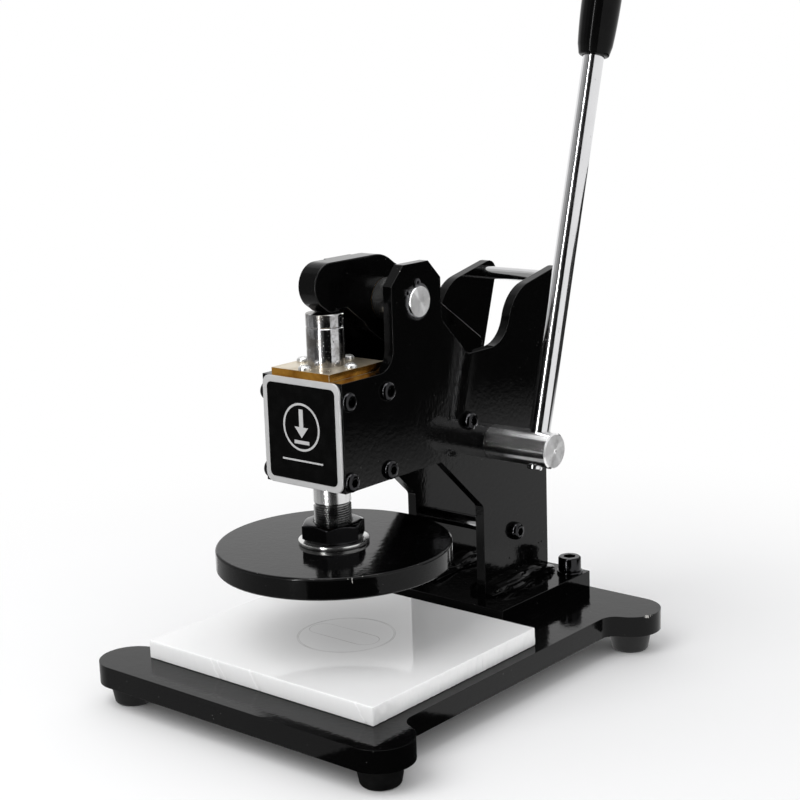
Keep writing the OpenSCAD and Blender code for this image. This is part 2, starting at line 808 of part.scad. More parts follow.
module nameplate() {
    color([0.80, 0.80, 0.82]) seat() translate([0, head_y0, (head_z0 + head_z1) / 2]) rotate([90, 0, 0])
        linear_extrude(name_t) round_rect(2 * (plate_out - name_side_gap), head_h, name_corner_r);
}

module nameplate_panel() {
    panel_w = 2 * (plate_out - name_side_gap - name_rim);
    color([0.03, 0.03, 0.03]) seat() translate([0, head_y0 - name_t, (head_z0 + head_z1) / 2])
        rotate([90, 0, 0]) linear_extrude(panel_t)
            round_rect(panel_w, head_h - 2 * name_rim, panel_corner_r);
}

module at_brass_screws() {
    for (a = [0:90:270]) {
        rotate([0, 0, a]) translate([brass_screw_r, 0, 0]) children();
    }
}

module brass_screw_holes() {
    at_brass_screws() translate([0, 0, head_z1 - brass_screw_bite - seat_clear])
        cylinder(d = seated(brass_screw_d), h = brass_screw_bite + brass_t + 2 * through);
}

module brass_plate() {
    w = plate_gap - 2 * brass_side_gap;
    color([0.72, 0.55, 0.24]) seat() difference() {
        translate([-w / 2, head_y0 - brass_lip, head_z1]) cube([w, head_d + brass_lip, brass_t]);
        translate([0, ram_y, head_z1 - through]) cylinder(d = running(ram_d), h = brass_t + 2 * through);
        translate([0, ram_y, 0]) brass_screw_holes();
        translate([0, ram_y, head_z1 - through]) rotate([0, 0, -45]) translate([oil_hole_r, 0, 0])
            cylinder(d = oil_hole_d, h = brass_t + 2 * through);
    }
}

module brass_screws() {
    color([0.82, 0.82, 0.84]) seat() translate([0, ram_y, 0]) at_brass_screws() difference() {
        union() {
            translate([0, 0, brass_z1]) rotate_extrude() polygon(concat(
                [[0, 0], [brass_head_d / 2, 0]],
                [for (a = [0:18:90]) [
                    brass_head_d / 2 * cos(a), brass_head_rim + (brass_head_h - brass_head_rim) * sin(a)
                ]]
            ));
            translate([0, 0, head_z1 - brass_screw_bite])
                cylinder(d = brass_screw_d, h = brass_screw_bite + brass_t + brass_head_h / 3);
        }
        for (a = [45, 135]) {
            translate([0, 0, brass_z1 + brass_head_h - cross_deep]) rotate([0, 0, a])
                translate([-cross_len / 2, -cross_w / 2, 0]) cube([cross_len, cross_w, brass_head_h]);
        }
    }
}

module lower_bush() {
    color([0.66, 0.47, 0.22]) seat() difference() {
        translate([0, ram_y, head_z0]) ring(bush_d, running(ram_d), bush_h);
        translate([0, ram_y + bush_d, guide_z]) rotate([90, 0, 0])
            cylinder(d = seated(guide_screw_d), h = bush_d);
    }
}

module guide_screw() {
    tip_y = ram_y + ram_d / 2 - keyway_depth + stop_gap;
    color([0.30, 0.30, 0.31]) seat() difference() {
        translate([0, head_y1, guide_z]) rotate([90, 0, 0]) cylinder(d = guide_screw_d, h = head_y1 - tip_y);
        translate([0, head_y1 + through, guide_z]) rotate([90, 0, 0])
            cylinder(d = guide_screw_d / 2, h = through + guide_screw_d / 2, $fn = 6);
    }
}

module pivot_pin() {
    reach = plate_out + pivot_out;
    color([0.80, 0.80, 0.82]) seat() difference() {
        translate([-reach, pivot_y, pivot_z]) rotate([0, 90, 0]) turned_bar(pivot_d, 2 * reach, edge_cut / 2);
        for (side = [0, 1]) mirror([side, 0, 0]) translate([plate_out, pivot_y, pivot_z]) rotate([0, 90, 0])
            ring(pivot_d + through, pivot_d - 2 * clip_groove, clip_t + 2 * seat_clear);
    }
}

// A snap ring with two eyed ends, lying on the outer face of the right side plate
module circlip() {
    r_in = pivot_d / 2 - clip_groove + seat_clear;
    r_ear = r_in + clip_wall / 2 + clip_ear_r / 2;
    translate([plate_out + seat_clear, pivot_y, pivot_z]) rotate([90, 0, 90])
    linear_extrude(clip_t) difference() {
        union() {
            circle(r_in + clip_wall);
            for (s = [-1, 1]) rotate(clip_turn + s * clip_gap) translate([r_ear, 0]) circle(clip_ear_r);
        }
        circle(r_in);
        rotate(clip_turn) polygon([
            [0, 0], pivot_d * [cos(clip_open), sin(clip_open)], pivot_d * [cos(clip_open), -sin(clip_open)]
        ]);
        for (s = [-1, 1]) rotate(clip_turn + s * clip_gap) translate([r_ear, 0]) circle(d = clip_hole_d);
    }
}

module pivot_circlips() {
    color([0.06, 0.06, 0.06]) seat() for (side = [0, 1]) mirror([side, 0, 0]) circlip();
}

module pivot_spacers() {
    len = plate_in - rocker_t / 2 - stop_gap;
    color([0.62, 0.62, 0.63]) seat() for (side = [0, 1]) mirror([side, 0, 0]) {
        translate([plate_in - len, pivot_y, pivot_z]) rotate([0, 90, 0])
            ring(pivot_d + 2 * pivot_spacer_wall, seated(pivot_d), len);
    }
}

// The rocker seen from the lever side, drawn from its pivot
module rocker_outline() {
    front = -pivot_behind_ram - arm_ahead;
    round = [front + arm_front_r, arm_rise - arm_front_r];
    bend = rounded([tail_tip_y, -tail_tip_z], [0, arm_rise], [front, arm_rise], arm_bend_r);
    nose = [-pivot_behind_ram, nose_rise];
    heel = [-pivot_behind_ram + ram_d / 2 + heel_gap, nose_rise - nose_r + heel_rise];
    polygon(concat(
        bend,
        arc(round, arm_front_r, 90, chin_turn, 14),
        [nose + nose_r * [cos(nose_ahead), sin(nose_ahead)]],
        [nose + nose_r * [cos(nose_behind), sin(nose_behind)]],
        [heel, rocker_hub_r * [cos(hub_front), sin(hub_front)], [0, 0]]
    ));
    translate(nose) circle(nose_r);
    link([0, 0], rocker_hub_r, [tail_nose_y, -tail_nose_z], tail_nose_r);
    polygon(concat(
        [[0, 0], [tail_nose_y, -tail_nose_z], [tail_nose_y + tail_nose_r, -tail_nose_z]],
        rounded(
            [tail_nose_y + tail_nose_r, -tail_nose_z], [tail_tip_y, -tail_tip_z], [0, arm_rise], tail_corner_r
        ),
        [bend[0]]
    ));
}

module rocker_arm() {
    color([0.06, 0.06, 0.065]) seat() translate([0, pivot_y, pivot_z]) difference() {
        slab(-rocker_t / 2, rocker_t / 2) rocker_outline();
        bar_x(-rocker_t, rocker_t, 0, 0, seated(rocker_bush_d));
    }
}

module rocker_bush() {
    color([0.66, 0.47, 0.22]) seat() translate([-rocker_t / 2, pivot_y, pivot_z]) rotate([0, 90, 0])
        ring(rocker_bush_d, running(pivot_d), rocker_t);
}

module ram() {
    r = ram_d / 2;
    grooves = floor((thread_z1 - ram_z0) / thread_pitch);
    color([0.80, 0.80, 0.82]) seat() translate([0, ram_y, 0]) difference() {
        rotate_extrude() polygon(concat(
            [[0, ram_z0], [r - thread_depth, ram_z0]],
            [for (i = [0:grooves - 1], k = [0, 1]) [
                r - (k > 0 ? 0 : thread_depth), ram_z0 + (i + 0.5 * k + 0.25) * thread_pitch
            ]],
            [[r - thread_depth, ram_z0 + (grooves + 0.25) * thread_pitch], [r, thread_z1 + thread_pitch]],
            [[r, cap_z0], [0, cap_z0]]
        ));
        keyway();
    }
}

// The keyway in the back of the ram, long enough for its travel
module keyway() {
    floor_y = ram_d / 2 - keyway_depth;
    for (z = [guide_z, guide_z + ram_travel]) {
        translate([0, ram_d, z]) rotate([90, 0, 0]) cylinder(d = keyway_w, h = ram_d - floor_y);
    }
    translate([-keyway_w / 2, floor_y, guide_z]) cube([keyway_w, ram_d, ram_travel]);
}

module ram_cap() {
    color([0.72, 0.72, 0.74]) seat() translate([0, ram_y, cap_z0]) rotate_extrude() polygon([
        [0, 0], [ram_d / 2 - edge_cut / 2, 0], [ram_d / 2, edge_cut / 2],
        [ram_d / 2, cap_h - edge_cut / 2], [ram_d / 2 - edge_cut / 2, cap_h], [0, cap_h]
    ]);
}

module ram_collar() {
    color([0.40, 0.40, 0.41]) seat() translate([0, ram_y, collar_z0])
        ring(collar_d, seated(ram_d), collar_h);
}

module return_spring() {
    last = spring_turns * spring_rings;
    points = [
        for (i = [0:last], k = [0:spring_sides - 1])
            let (c = spring_centre(i), a = 360 * i / spring_rings, b = 360 * k / spring_sides)
            c + wire_d / 2 * [cos(b) * cos(a), cos(b) * sin(a), sin(b)]
    ];
    walls = [
        for (i = [0:last - 1], k = [0:spring_sides - 1], half = [0, 1])
            let (a = i * spring_sides + k, b = i * spring_sides + (k + 1) % spring_sides)
            half > 0 ? [a, a + spring_sides, b + spring_sides] : [a, b + spring_sides, b]
    ];
    ends = [
        for (k = [1:spring_sides - 2], far = [0, 1])
            let (o = far * last * spring_sides)
            far > 0 ? [o, o + k + 1, o + k] : [o, o + k, o + k + 1]
    ];
    color([0.55, 0.55, 0.57]) seat() translate([0, ram_y, spring_z0])
        polyhedron(points, concat(walls, ends));
}

module lever_shaft() {
    x0 = -plate_out - shaft_out_left;
    color([0.80, 0.80, 0.82]) seat() translate([0, shaft_y, shaft_z]) difference() {
        translate([x0, 0, 0]) rotate([0, 90, 0]) turned_bar(shaft_d, shaft_x1 - x0, edge_cut);
        translate([rod_x, 0, 0]) rotate([-lever_lean, 0, 0]) {
            translate([0, 0, -shaft_d]) cylinder(d = seated(spigot_d), h = 2 * shaft_d);
            translate([0, 0, shaft_d / 2 - rod_seat]) cylinder(d = seated(rod_d), h = shaft_d);
        }
        cam_pin_hole(seat_clear);
    }
}

// The hole for the pin through the cam and the shaft
module cam_pin_hole(room) {
    rotate([cam_pin_turn, 0, 0]) translate([0, 0, -cam_hub_r - room])
        cylinder(d = cam_pin_d + 2 * room, h = 2 * (cam_hub_r + room));
}

module cam_outline() {
    lobe = [for (i = [0:cam_steps]) cam_point(-cam_over + (lever_swing + 2 * cam_over) * i / cam_steps)];
    first = lobe[0];
    last = lobe[cam_steps];
    polygon(concat(
        lobe,
        arc([0, 0], cam_hub_r, atan2(last[1], last[0]), atan2(first[1], first[0]) - 360, cam_steps)
    ));
}

module cam() {
    color([0.30, 0.30, 0.31]) seat() translate([0, shaft_y, shaft_z]) difference() {
        slab(-cam_w / 2, cam_w / 2) cam_outline();
        bar_x(-cam_w, cam_w, 0, 0, seated(shaft_d));
        cam_pin_hole(seat_clear);
    }
}

module cam_pin() {
    color([0.55, 0.55, 0.56]) seat() translate([0, shaft_y, shaft_z]) cam_pin_hole(0);
}

module shaft_sleeves() {
    len = plate_in - cam_w / 2 - stop_gap;
    color([0.30, 0.30, 0.31]) seat() for (side = [0, 1]) mirror([side, 0, 0]) {
        translate([cam_w / 2, shaft_y, shaft_z]) rotate([0, 90, 0])
            ring(shaft_d + 2 * sleeve_wall, seated(shaft_d), len);
    }
}

// Puts a piece on the lever's axis, its Z along the rod
module on_lever() {
    seat() translate([rod_x, shaft_y, shaft_z]) rotate([-lever_lean, 0, 0]) children();
}

module lever_rod() {
    foot_z = shaft_d / 2 - rod_seat;
    color([0.80, 0.80, 0.82]) on_lever() {
        translate([0, 0, foot_z]) cylinder(d = rod_d, h = rod_reach + grip_hold - foot_z);
        translate([0, 0, -shaft_d / 2 - spigot_out])
            cylinder(d = spigot_d, h = shaft_d / 2 + spigot_out + foot_z);
    }
}

// Radius of the grip at a share of its length
function grip_radius(t) =
    let (ends = grip_low_d + (grip_top_d - grip_low_d) * t)
    let (bulge = grip_mid_d - (grip_low_d + grip_top_d) / 2)
    let (swell = bulge * pow(sin(180 * pow(t, grip_belly)), grip_fullness))
    (ends + swell) / 2;

module lever_grip() {
    barrel = grip_len - grip_top_r;
    color([0.05, 0.05, 0.05]) on_lever() translate([0, 0, rod_reach]) difference() {
        rotate_extrude() polygon(concat(
            [[0, 0], [grip_low_d / 2 - 2 * edge_cut, 0]],
            arc([grip_low_d / 2 - 2 * edge_cut, 2 * edge_cut], 2 * edge_cut, -90, 0, 4),
            [for (t = [0.08:0.08:0.96]) [grip_radius(t), barrel * t]],
            arc([0, barrel], grip_top_r, 0, 90, 8)
        ));
        translate([0, 0, -through]) cylinder(d = seated(rod_d), h = grip_hold + through + seat_clear);
    }
}

module plate_washer() {
    color([0.80, 0.80, 0.82]) seat() translate([0, ram_y, disc_z1])
        ring(washer_d, running(ram_d), washer_t);
}

module press_plate() {
    color([0.06, 0.06, 0.065]) seat() translate([0, ram_y, disc_z0]) difference() {
        turned_bar(disc_d, disc_t, edge_cut);
        translate([0, 0, -through]) cylinder(d = running(ram_d), h = disc_t + 2 * through);
    }
}

module lock_nut() {
    corner_r = nut_af / 2 / cos(30);
    color([0.07, 0.07, 0.07]) seat() translate([0, ram_y, washer_z1]) difference() {
        intersection() {
            cylinder(r = corner_r, h = nut_h, $fn = 6);
            rotate_extrude() polygon([
                [0, 0], [nut_af / 2, 0], [corner_r, (corner_r - nut_af / 2) / 2],
                [corner_r, nut_h - (corner_r - nut_af / 2) / 2], [nut_af / 2, nut_h], [0, nut_h]
            ]);
        }
        translate([0, 0, -through]) cylinder(d = running(ram_d), h = nut_h + 2 * through);
    }
}

module cutting_board() {
    color([0.93, 0.93, 0.92]) seat() translate([-board_w / 2, board_y0, 0]) cube([board_w, board_d, board_t]);
}

base_plate();
foot_front_left();
foot_front_right();
foot_rear_left();
foot_rear_right();
foot_screws();
bracket_plate();
bracket_screws();
bracket_washers();
bracket_under_screws();
side_plate_left();
side_plate_right();
weld_beads();
head_block();
head_bolts();
tie_bolts();
mid_tie_bar();
lower_tie_bar();
top_cross_bar();
nameplate();
nameplate_panel();
brass_plate();
brass_screws();
lower_bush();
guide_screw();
pivot_pin();
pivot_circlips();
pivot_spacers();
rocker_arm();
rocker_bush();
ram();
ram_cap();
ram_collar();
return_spring();
lever_shaft();
cam();
cam_pin();
shaft_sleeves();
lever_rod();
lever_grip();
plate_washer();
press_plate();
lock_nut();
cutting_board();
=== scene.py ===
"""Looks of the hand-lever die cutting press: metres, in the frame of the CAD parts."""

import json
import math
import random

import bmesh
import bpy
from mathutils import Matrix, Vector, noise


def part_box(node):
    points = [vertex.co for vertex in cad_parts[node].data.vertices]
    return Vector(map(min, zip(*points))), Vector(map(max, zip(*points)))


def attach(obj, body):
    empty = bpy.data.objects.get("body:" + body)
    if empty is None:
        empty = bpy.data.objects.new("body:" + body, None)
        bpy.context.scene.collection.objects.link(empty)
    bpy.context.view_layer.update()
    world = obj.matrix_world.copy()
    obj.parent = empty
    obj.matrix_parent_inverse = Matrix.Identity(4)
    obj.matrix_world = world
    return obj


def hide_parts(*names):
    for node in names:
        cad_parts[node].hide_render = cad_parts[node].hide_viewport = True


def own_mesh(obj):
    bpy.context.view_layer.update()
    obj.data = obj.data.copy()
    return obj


MM = 0.001
WHITE = (1, 1, 1, 1)
UP = (0, 0, 1)
ACROSS = (1, 0, 0)

FINE_TURN = 96
KNURL_TURN = 120
SMOOTH_ANGLE = math.radians(35)
BEVEL_ANGLE = math.radians(30)
FLAT_ANGLE = math.radians(0.5)
SAME_POINT = 1e-6
SAME_CORNER = 1e-7

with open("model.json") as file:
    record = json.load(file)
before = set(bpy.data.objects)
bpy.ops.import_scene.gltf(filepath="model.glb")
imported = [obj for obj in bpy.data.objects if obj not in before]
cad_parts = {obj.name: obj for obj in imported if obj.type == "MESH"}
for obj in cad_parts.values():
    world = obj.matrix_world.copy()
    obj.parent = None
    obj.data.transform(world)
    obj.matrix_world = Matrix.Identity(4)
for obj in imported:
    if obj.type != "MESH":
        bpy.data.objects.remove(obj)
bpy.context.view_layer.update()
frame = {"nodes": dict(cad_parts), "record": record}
record = frame["record"]
slot_of = {part["node"]: part["material_slot"] for part in record["subparts"]}
body_of = {node: body for body, nodes in record["behaviour"]["bodies"].items() for node in nodes}
scene = bpy.context.scene

# Sizes that the boxes of the CAD parts don't give

RAM_RADIUS = 12 * MM
RAM_BORE = 12.05 * MM
THREAD_PITCH = 1.5 * MM
THREAD_TOP = 130.2 * MM
NUT_ACROSS = 36 * MM
NUT_CHAMFER = math.radians(32)
SPRING_TURNS = 7
SPRING_WIRE = 1.2 * MM
ROD_RADIUS = 7 * MM
ROD_SPIGOT = 5 * MM
ROD_INSET = 14.2 * MM
ROD_REACH = 261 * MM
ROD_HOLD = 70 * MM
LEVER_LEAN = math.radians(15.7)
GRIP_ROOM = 0.02 * MM
GRIP_LENGTH = 105 * MM
# Diameters of the grip at its lip, belly and end
GRIP_LOW, GRIP_MIDDLE, GRIP_TOP = 20.8 * MM, 26.5 * MM, 23 * MM
# Radii of a foot's tread, hollow and hole, and of the hole in a bracket washer
FOOT_TREAD, FOOT_HOLLOW, FOOT_HOLE = 12.5 * MM, 6.02 * MM, 3.2 * MM
WASHER_HOLE = 5.2 * MM

FEET = ("foot_front_left", "foot_front_right", "foot_rear_left", "foot_rear_right")
# Rounding of the painted edges, in millimetres
PAINTED_EDGES = {
    "base_plate": 1.2, "bracket_plate": 0.8, "side_plate_left": 0.7, "side_plate_right": 0.7,
    "head_block": 0.6,
}

# Cracks in the board's front side: place along it, width and depth, in millimetres
BOARD_CRACKS = ((56, 1.6, 1.5), (62, 1.1, 1.0), (90, 1.3, 1.4), (176, 1.2, 1.0))
CRACK_LEAN = 8 * MM
# Loops round the board's side from its foot up: inset, roughness and height, in millimetres
BOARD_LOOPS = (
    (1.0, 0.05, 0.0), (0.25, 0.12, 0.5), (0.16, 0.16, 2.0), (0.14, 0.18, 4.5), (0.14, 0.18, 7.0),
    (0.16, 0.18, 9.5), (0.16, 0.16, 11.2), (0.25, 0.12, 11.75), (0.6, 0.06, 12.0),
)


def centre(node):
    low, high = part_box(node)
    return (low + high) / 2


def grey(level):
    return (level, level, level, 1)


def quarter(steps, first=0):
    """Angles of a quarter turn in equal steps."""
    return [math.pi / 2 * k / steps for k in range(first, steps + 1)]


# Shader graphs


def add(tree, kind, inputs=(), **settings):
    """A shader node; inputs maps socket names or numbers to values or to other nodes' sockets."""
    made = tree.nodes.new("ShaderNode" + kind)
    for key, value in settings.items():
        setattr(made, key, value)
    for key, value in dict(inputs).items():
        if isinstance(value, bpy.types.NodeSocket):
            tree.links.new(value, made.inputs[key])
        else:
            made.inputs[key].default_value = value
    return made


def material(name, **uniform):
    made = bpy.data.materials.new(name)
    made.use_nodes = True
    tree = made.node_tree
    shader = tree.nodes["Principled BSDF"]
    for key, value in uniform.items():
        shader.inputs[key.replace("_", " ")].default_value = value
    return made, tree, shader


def bare_material(name):
    """A material whose tree is still empty."""
    made = bpy.data.materials.new(name)
    made.use_nodes = True
    made.node_tree.nodes.clear()
    return made, made.node_tree


def places(tree, stretch=(1, 1, 1)):
    """Object coordinates, squeezed along an axis to draw a pattern out along it."""
    coords = add(tree, "TexCoord").outputs["Object"]
    return add(tree, "Mapping", {"Vector": coords, "Scale": stretch}).outputs[0]


def grain(tree, where, scale, detail=2.0, roughness=0.5):
    inputs = {"Vector": where, "Scale": scale, "Detail": detail, "Roughness": roughness}
    return add(tree, "TexNoise", inputs).outputs[0]


def spread(tree, value, low, high, to_low, to_high, **settings):
    inputs = {"Value": value, "From Min": low, "From Max": high}
    inputs.update({"To Min": to_low, "To Max": to_high})
    return add(tree, "MapRange", inputs, **settings).outputs[0]


def blend(tree, share, first, second):
    inputs = {"Fac": share, "Color1": first, "Color2": second}
    return add(tree, "MixRGB", inputs).outputs[0]


def maths(tree, operation, first, second=0.0):
    return add(tree, "Math", {0: first, 1: second}, operation=operation).outputs[0]


def vectors(tree, operation, first, second=(0, 0, 0)):
    """Vector maths; a length comes out as a number."""
    made = add(tree, "VectorMath", {0: first, 1: second}, operation=operation)
    return made.outputs["Value" if operation == "LENGTH" else "Vector"]


def largest(tree, shares):
    found = shares[0]
    for share in shares[1:]:
        found = maths(tree, "MAXIMUM", found, share)
    return found


def emboss(tree, shader, *layers):
    """Stacks bump layers of (height, depth in metres) onto the shader's normal."""
    normal = None
    for height, depth in layers:
        inputs = {"Height": height, "Distance": depth, "Strength": 1.0}
        if normal:
            inputs["Normal"] = normal
        normal = add(tree, "Bump", inputs).outputs[0]
    tree.links.new(normal, shader.inputs["Normal"])


def feed(tree, shader, **links):
    for key, socket in links.items():
        tree.links.new(socket, shader.inputs[key.replace("_", " ")])


# Materials: a noise's scale is per metre, and its range is spread to a share or a roughness

STEEL = (0.79, 0.79, 0.80, 1)
DUST = (0.32, 0.32, 0.31, 1)
GRIME = (0.05, 0.045, 0.04, 1)
# Bare metal where the paint is chipped; at the two knocked spots it also paints highlights
BARE_METAL_AND_GLINT = (0.46, 0.45, 0.43, 1)

# The two knocked spots in the paint, partly chipped paint and partly painted highlights in pale bare
# metal: where they are, and how far the paint is gone sideways and upright
RIM_CHIP_GLINT_TURN, RIM_CHIP_GLINT_DROP, RIM_CHIP_GLINT = math.radians(-39.7), 2 * MM, (0.45 * MM, 5.5 * MM)
EAR_CHIP_GLINT_INSET, EAR_CHIP_GLINT_BACK, EAR_CHIP_GLINT = 0.5 * MM, 30 * MM, (4 * MM, 2 * MM)
CHIP_GLINT_DRIFT = 3 * MM

# The disc, cut twice, and the slot once cut out on the board: radius and half length
CUT_OFFSET, SLOT_OFFSET = Vector((3 * MM, 0.7 * MM, 0)), Vector((-2 * MM, 0, 0))
CUT_RADIUS, SECOND_CUT_RADIUS = 31.5 * MM, 30.6 * MM
SLOT_RADIUS, SLOT_HALF_LENGTH = 9 * MM, 18 * MM


def chip_and_glint_places():
    """Where the paint is knocked off, in pale bare metal that also paints a highlight: the spot, how
    far it is gone sideways and how far upright.
    """
    disc_low, disc_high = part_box("press_plate")
    hub, radius = centre("press_plate"), (disc_high.x - disc_low.x) / 2
    rim_x = hub.x + radius * math.cos(RIM_CHIP_GLINT_TURN)
    rim_y = hub.y + radius * math.sin(RIM_CHIP_GLINT_TURN)
    rim = Vector((rim_x, rim_y, disc_high.z - RIM_CHIP_GLINT_DROP))
    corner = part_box("base_plate")[1]
    rear_ear = Vector((corner.x - EAR_CHIP_GLINT_INSET, corner.y - EAR_CHIP_GLINT_BACK, corner.z))
    return (rim, *RIM_CHIP_GLINT), (rear_ear, *EAR_CHIP_GLINT)


def chip_and_glint_shares(tree, where):
    """Share of bare metal at each knocked spot, which also paints a highlight there, with a wavy and
    ragged rim.
    """
    drift = add(tree, "TexNoise", {"Vector": where, "Scale": 260, "Detail": 2}).outputs["Color"]
    drift = vectors(tree, "SUBTRACT", drift, (0.5, 0.5, 0.5))
    drift = vectors(tree, "MULTIPLY", drift, (CHIP_GLINT_DRIFT, CHIP_GLINT_DRIFT, CHIP_GLINT_DRIFT))
    wavy = vectors(tree, "ADD", where, drift)
    ragged = maths(tree, "MULTIPLY", grain(tree, where, 520, 3), 1.8)
    spots = []
    for spot, wide, tall in chip_and_glint_places():
        offset = vectors(tree, "SUBTRACT", wavy, spot)
        offset = vectors(tree, "MULTIPLY", offset, (1 / wide, 1 / wide, 1 / tall))
        away = maths(tree, "ADD", vectors(tree, "LENGTH", offset), ragged)
        spots.append(spread(tree, away, 1.6, 1.75, 1, 0))
    return spots


def black_paint(name, chipping, rubbed):
    """Glossy black paint with orange peel and dust; on an edge rubbed paler, with small chipped spots;
    at the two knocked spots its pale bare metal also paints highlights.
    """
    made, tree, shader = material(name, IOR=1.27)
    where = places(tree)
    tone = blend(tree, grain(tree, where, 14, 4), (0.0005, 0.0005, 0.0006, 1), grey(rubbed))
    dust = spread(tree, grain(tree, where, 620, 1), 0.79, 0.83, 0, 0.3)
    tone = blend(tree, dust, tone, DUST)
    chips_and_glints = spread(tree, grain(tree, where, 310, 4, 0.55), chipping, chipping + 0.02, 0, 1)
    # The knocked spots, partly chipped paint and partly painted highlights, join the chipped ones
    chips_and_glints = largest(tree, [chips_and_glints] + chip_and_glint_shares(tree, where))
    tone = blend(tree, chips_and_glints, tone, BARE_METAL_AND_GLINT)
    sheen = spread(tree, grain(tree, where, 35, 6, 0.65), 0.3, 0.75, 0.05, 0.13)
    sheen = maths(tree, "MAXIMUM", sheen, maths(tree, "MULTIPLY", chips_and_glints, 0.5))
    feed(tree, shader, Base_Color=tone, Roughness=sheen)
    peel = grain(tree, where, 330, 2)
    waves = grain(tree, where, 45, 1)
    emboss(tree, shader, (waves, 0.06 * MM), (peel, 0.06 * MM), (chips_and_glints, -0.05 * MM))
    return made


def bright_metal(name, colour, rough, stretch, dirt, metallic=1.0):
    """Turned or ground metal: marks drawn out along one axis, dull patches and specks of dirt."""
    made, tree, shader = material(name, Metallic=metallic)
    where = places(tree)
    marks = grain(tree, places(tree, stretch), 900, 3)
    soil = spread(tree, grain(tree, where, 260, 6, 0.7), dirt, dirt + 0.06, 0, 0.85)
    aged = [0.86 * part for part in colour[:3]] + [1]
    tone = blend(tree, grain(tree, where, 55, 4), colour, aged)
    tone = blend(tree, soil, tone, GRIME)
    dull = spread(tree, grain(tree, where, 70, 5), 0.3, 0.75, rough, rough + 0.12)
    dull = maths(tree, "MAXIMUM", dull, maths(tree, "MULTIPLY", soil, 0.6))
    feed(tree, shader, Base_Color=tone, Roughness=dull)
    emboss(tree, shader, (marks, 0.006 * MM), (soil, 0.02 * MM))
    return made


def aged_brass(name, fresh, stained, stain_scale, rough):
    """Brass polished by hand: smooth, browned in broad patches, with fine rubbing marks."""
    made, tree, shader = material(name, Metallic=1.0)
    where = places(tree)
    patina = spread(tree, grain(tree, where, stain_scale, 4, 0.6), 0.36, 0.66, 0, 1)
    tone = blend(tree, patina, fresh, stained)
    dull = spread(tree, grain(tree, where, 60, 5), 0.3, 0.75, rough, rough + 0.16)
    feed(tree, shader, Base_Color=tone, Roughness=dull)
    rubbing = grain(tree, places(tree, (0.06, 1, 1)), 1400, 2)
    emboss(tree, shader, (rubbing, 0.004 * MM), (patina, 0.01 * MM))
    return made


def turned_steel(name, fresh, stained, rough):
    """Steel from the lathe: rings round the X axis spread its gloss across them, with dull stains."""
    made, tree, shader = material(name, Metallic=1.0, Anisotropic=1.0, Anisotropic_Rotation=0.25)
    tangent = add(tree, "Tangent", direction_type="RADIAL", axis="X")
    where = places(tree)
    stain = spread(tree, grain(tree, where, 180, 6, 0.7), 0.5, 0.75, 0, 1)
    tone = blend(tree, stain, grey(fresh), grey(stained))
    dull = spread(tree, grain(tree, where, 90, 4), 0.3, 0.7, rough, 1.3 * rough)
    feed(tree, shader, Base_Color=tone, Roughness=dull, Tangent=tangent.outputs[0])
    emboss(tree, shader, (grain(tree, where, 1500, 2), 0.008 * MM))
    return made


def greasy_steel():
    """Ground steel under an uneven film of old grease, with dark specks in it."""
    made, tree, shader = material("steel_greasy", Metallic=1.0)
    where = places(tree)
    film = spread(tree, grain(tree, where, 75, 5, 0.6), 0.42, 0.62, 0, 1)
    specks = spread(tree, grain(tree, where, 620, 6, 0.75), 0.62, 0.67, 0, 1)
    tone = blend(tree, film, (0.54, 0.54, 0.55, 1), (0.20, 0.19, 0.18, 1))
    tone = blend(tree, specks, tone, (0.03, 0.028, 0.025, 1))
    dull = spread(tree, film, 0, 1, 0.07, 0.26)
    dull = maths(tree, "MAXIMUM", dull, maths(tree, "MULTIPLY", specks, 0.5))
    feed(tree, shader, Base_Color=tone, Roughness=dull)
    emboss(tree, shader, (film, 0.02 * MM), (specks, 0.03 * MM))
    return made


def oily_thread():
    """Thread of the ram, dark with oil in its grooves."""
    made, tree, shader = material("thread_oily", Metallic=1.0)
    where = places(tree)
    oil = spread(tree, grain(tree, where, 140, 5, 0.65), 0.35, 0.7, 0, 1)
    tone = blend(tree, oil, grey(0.34), grey(0.08))
    dull = spread(tree, oil, 0, 1, 0.28, 0.18)
    feed(tree, shader, Base_Color=tone, Roughness=dull)
    emboss(tree, shader, (grain(tree, where, 700, 3), 0.02 * MM))
    return made


def soft_plastic(name, colour, worn, rough, patchy, depth, gloss):
    """Moulded rubber or plastic: soft grain, worn lighter in patches."""
    made, tree, shader = material(name, Specular_IOR_Level=gloss)
    where = places(tree)
    wear = spread(tree, grain(tree, where, 60, 6, 0.65), 0.4, 0.75, 0, 1)
    tone = blend(tree, wear, colour, worn)
    dull = spread(tree, grain(tree, where, 40, 5), 0.3, 0.7, rough, rough + patchy)
    feed(tree, shader, Base_Color=tone, Roughness=dull)
    emboss(tree, shader, (grain(tree, where, 500, 3), depth))
    return made


def whitened_cracks(tree, where):
    """Share of white where the plastic is crazed along the cracks in the front side."""
    low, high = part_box("cutting_board")
    place = add(tree, "SeparateXYZ", {0: where}).outputs
    rise = maths(tree, "DIVIDE", maths(tree, "SUBTRACT", place["Z"], low.z), high.z - low.z)
    along = maths(tree, "ADD", place["X"], maths(tree, "MULTIPLY", rise, CRACK_LEAN))
    jagged = maths(tree, "MULTIPLY", grain(tree, where, 260, 3), 4 * MM)
    along = maths(tree, "ADD", along, jagged)
    lines = []
    for start, width, _ in BOARD_CRACKS:
        middle = low.x + start * MM + CRACK_LEAN + 2 * MM
        off = maths(tree, "ABSOLUTE", maths(tree, "SUBTRACT", along, middle))
        lines.append(spread(tree, off, 0.25 * width * MM, 0.7 * width * MM, 1, 0))
    front = spread(tree, place["Y"], low.y + 1.5 * MM, low.y + 2.5 * MM, 1, 0)
    return maths(tree, "MULTIPLY", largest(tree, lines), front)


